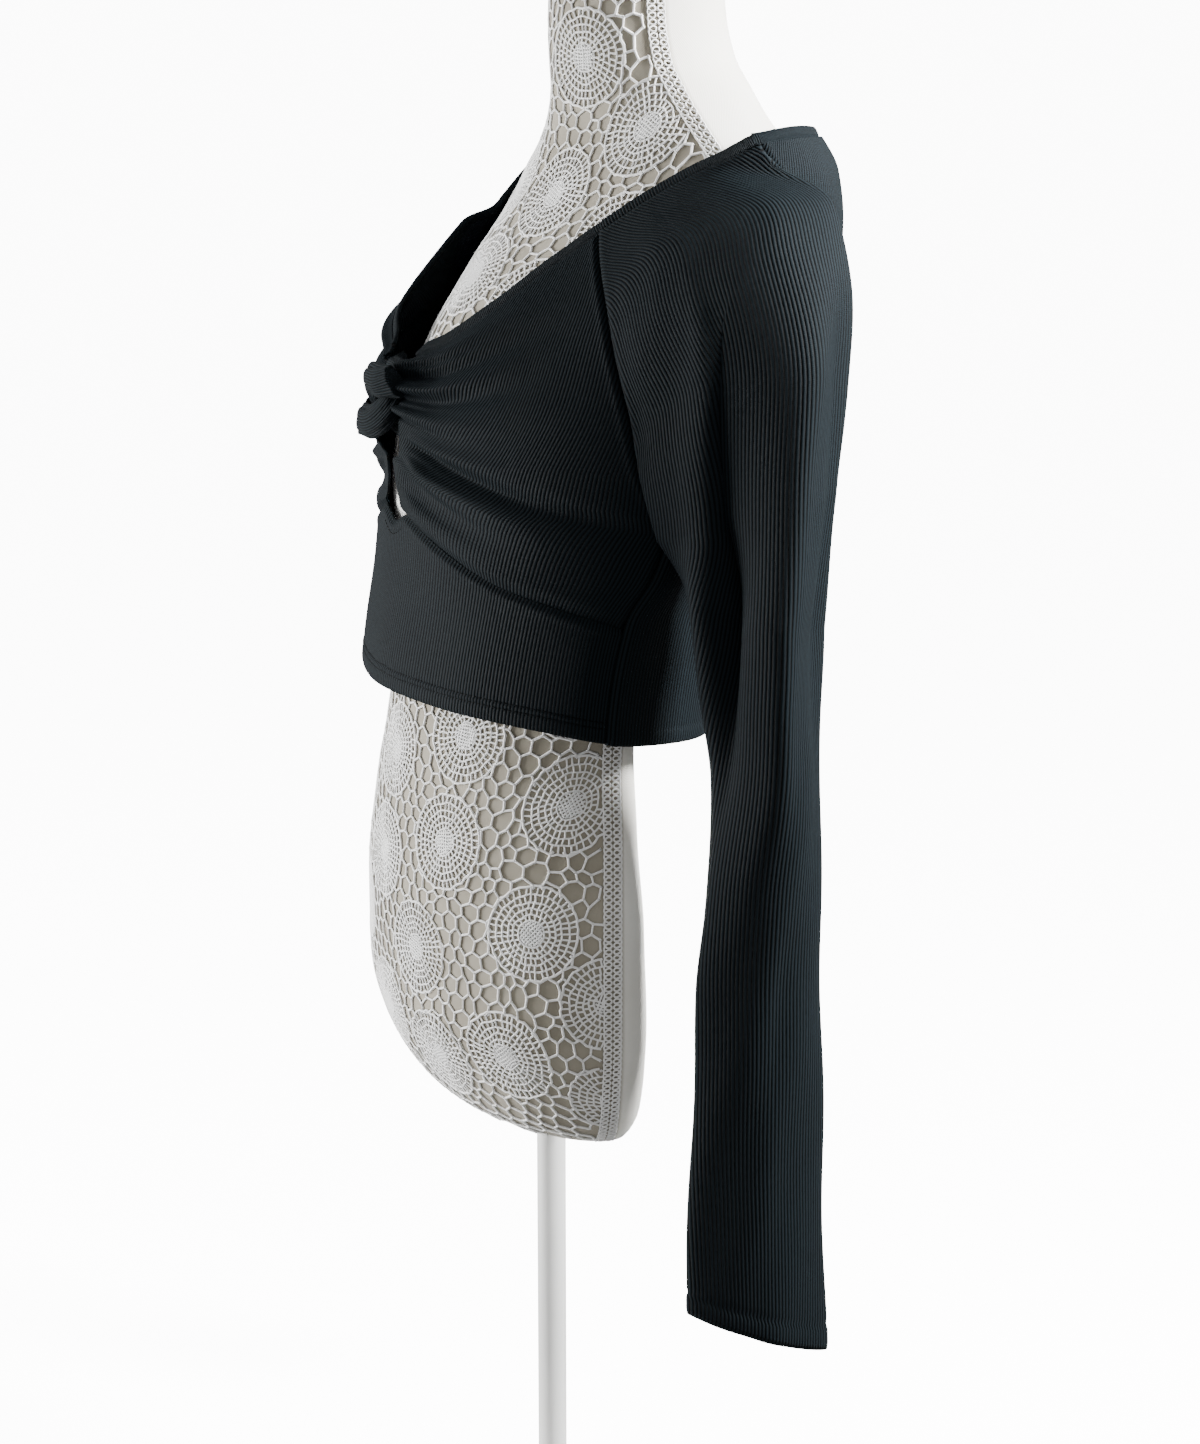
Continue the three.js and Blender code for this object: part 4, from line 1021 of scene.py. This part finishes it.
def addTrim():
    for name, (low, high) in zip(("trim_lower", "trim_upper"), trimLook["spans"]):
        threads = []
        t = np.arange(0, math.tau * (high - low) / trimLook["pitch"], math.tau / 11)
        length = low + trimLook["pitch"] * t / math.tau + trimLook["loop"] * np.sin(t)
        length = np.clip(length, 2, 720)
        for side in (-1, 1):
            for chain in (-1, 1):
                middle = formFront.halfWidthAt(length) - trimLook["inset"]
                width = middle + chain * trimLook["apart"] + chain * trimLook["loop"] * np.cos(t)
                threads.append(np.stack([side * width, length], axis=-1))
        piece = threadPiece(name, ((onFront(threads, laceLift["trim"]), trimLook["thread"]),), laceThread)


addForm()
addLace()
addTrim()
print("form ready")


# Countertop stand
standLook = {"poleRadius": 9, "baseRadius": 140, "baseTop": 137, "thickness": 5, "poleY": 8, "baseY": 20,
             "underside": 328, "gap": 0.3, "poleEdge": 0.8, "baseEdge": 1.6}


def addRound(name, node, low, high, lowRadius, highRadius, y, edge, segments):
    mesh = bmesh.new()
    bmesh.ops.create_cone(mesh, cap_ends=True, segments=segments, radius1=lowRadius * toMetres,
                          radius2=highRadius * toMetres, depth=(high - low) * toMetres)
    bmesh.ops.translate(mesh, verts=mesh.verts, vec=(0, y * toMetres, (low + high) / 2 * toMetres))
    rims = [line for line in mesh.edges if max(len(face.verts) for face in line.link_faces) > 4]
    bmesh.ops.bevel(mesh, geom=rims, offset=edge * toMetres, affect="EDGES", segments=4, profile=0.5,
                    material=-1)
    for face in mesh.faces:
        face.smooth = len(face.verts) == 4
    piece = finishMesh(name, mesh, standPaint)
    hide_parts(node)


def addStand():
    look = standLook
    addRound("stand_tube", "stand_pole", look["thickness"] + look["gap"], look["underside"] - look["gap"],
             look["poleRadius"], look["poleRadius"], look["poleY"], look["poleEdge"], 64)
    addRound("stand_plate", "stand_base", 0, look["thickness"], look["baseRadius"], look["baseTop"],
             look["baseY"], look["baseEdge"], 128)


addStand()
print("stand ready")


# Rows of stitches at the hem, the cuffs and the keyhole's facing
stitchLook = {"length": 2.5, "pitch": 3.3, "width": 0.55, "lift": 0.1, "facing": 8, "backRow": 0.36 / 120}


def addStitches(name, lines):
    stitches = []
    for line, normals in lines:
        run = runLength(line)
        starts = np.arange(1, run[-1] - stitchLook["length"], stitchLook["pitch"])
        shares = starts[:, None] + stitchLook["length"] * np.array([0, 0.25, 0.75, 1])
        places = np.stack([np.interp(shares, run, line[:, k]) for k in range(3)], axis=-1)
        out = np.stack([np.interp(shares, run, normals[:, k]) for k in range(3)], axis=-1)
        stitches += list(places + out * np.array([-0.3, 0.15, 0.15, -0.3])[None, :, None])
    piece = threadPiece(name, ((stitches, stitchLook["width"] / 2),), stitchThread)
    return piece


def sheetLine(place, u, v, lift):
    points = place(u, v)[0]
    def beside(du, dv):
        return place(np.clip(u + du, 0, 1), np.clip(v + dv, 0, 1))[0]
    step = 0.004
    normals = unit(np.cross(beside(step, 0) - beside(-step, 0), beside(0, step) - beside(0, -step)))
    middle = points.mean(axis=0)
    normals = normals * np.where(((points - middle) * normals).sum(axis=1, keepdims=True) < 0, -1, 1)
    return points + normals * lift, normals


def hemLines():
    lines = []
    for above in hemLook["rows"]:
        u = np.linspace(0.004, 0.996, 260)
        far = np.abs(mix(-0.5, 0.5, u))
        hem = lookUp(hemLine, "share", far)["height"]
        underbust = lookUp(underbustSeam, "share", far)["height"]
        top = np.where(far < midriffLook["keyhole"], keyholeBottom, underbust)
        lines.append(sheetLine(midriffPlace, u, above / (top - hem), stitchLook["lift"]))
        up = np.full(len(u), above * stitchLook["backRow"])
        lines.append(sheetLine(backPlace, u, up, stitchLook["lift"]))
    return lines


def cuffLines():
    around = np.linspace(0.01, 0.99, 120)
    tube = (sleeveLook["tubeTop"] - sleeveLook["tubeBottom"]) * sleeveLook["slope"]
    down = np.full(len(around), 1 - sleeveLook["cuffRow"] * (1 - sleeveLook["cap"]) / tube)

    def flatSleeve(u, v):
        return sleeveSurface(u, v), None
    left, normals = sheetLine(flatSleeve, around, down, stitchLook["lift"])
    return [(left, normals), (left * (-1, 1, 1), normals * (-1, 1, 1))]


def facingLine():
    u = np.linspace(0.462, 0.538, 40)
    far = np.abs(mix(-0.5, 0.5, u))
    hem = lookUp(hemLine, "share", far)["height"]
    top = mix(keyholeBottom, midriffLook["seam"], smooth(far / midriffLook["keyhole"]))
    return [sheetLine(midriffPlace, u, (top - stitchLook["facing"] - hem) / (top - hem), 0.05)]


addStitches("hem_stitches", hemLines())
addStitches("cuff_stitches", cuffLines())
addStitches("facing_stitches", facingLine())
print("stitches ready")


# Floor and soft studio light
studio = {"floor": 18, "glow": 11, "world": 0.5, "key": 114, "side": 132, "top": 3}


# The floor and the dome round it glow for the camera alone, so they don't light the top from below
def addStage():
    look = Look("studioPaper")
    paper = look.ramp(look.noise(1.2, 2), ((0, (0.9, 0.9, 0.9)), (1, (0.94, 0.94, 0.94))))
    look.fill(look.shader, {"Base Color": paper, "Roughness": 0.9, "Emission Color": (1, 1, 1, 1),
                            "Emission Strength": studio["glow"]})
    floor, dome = bmesh.new(), bmesh.new()
    bmesh.ops.create_grid(floor, x_segments=4, y_segments=4, size=studio["floor"])
    bmesh.ops.create_icosphere(dome, subdivisions=4, radius=studio["floor"])
    bmesh.ops.bisect_plane(dome, geom=dome.verts[:] + dome.edges[:] + dome.faces[:], plane_co=(0, 0, -1),
                           plane_no=(0, 0, 1), clear_inner=True)
    bmesh.ops.reverse_faces(dome, faces=dome.faces)
    for name, mesh in (("floor", floor), ("dome", dome)):
        data = bpy.data.meshes.new(name)
        mesh.to_mesh(data)
        mesh.free()
        data.materials.append(look.material)
        piece = addObject(name, data)
        piece.visible_diffuse = False
        piece.visible_glossy = False
        piece.visible_shadow = name == "floor"


def addLight(name, place, target, size, power):
    data = bpy.data.lights.new(name, "AREA")
    data.shape = "RECTANGLE"
    data.size, data.size_y = size
    data.energy = power
    light = addObject(name, data)
    light.location = place
    aim(light, Vector(target) - Vector(place))


def addStudio():
    world = bpy.data.worlds.new("studio")
    world.use_nodes = True
    background = world.node_tree.nodes["Background"].inputs
    background["Color"].default_value = (1, 1, 1, 1)
    background["Strength"].default_value = studio["world"]
    bpy.context.scene.world = world
    addLight("key", (0.66, 1.0, 1.4), (0.1, 0.05, 0.86), (0.35, 0.35), studio["key"])
    addLight("side", (-0.9, -1.9, 0.55), (0, 0, 0.55), (1, 1.4), studio["side"])
    addLight("top", (0.35, 0.25, 2.1), (0.1, 0.05, 0.85), (0.9, 0.9), studio["top"])


addStage()
addStudio()
print("studio ready")
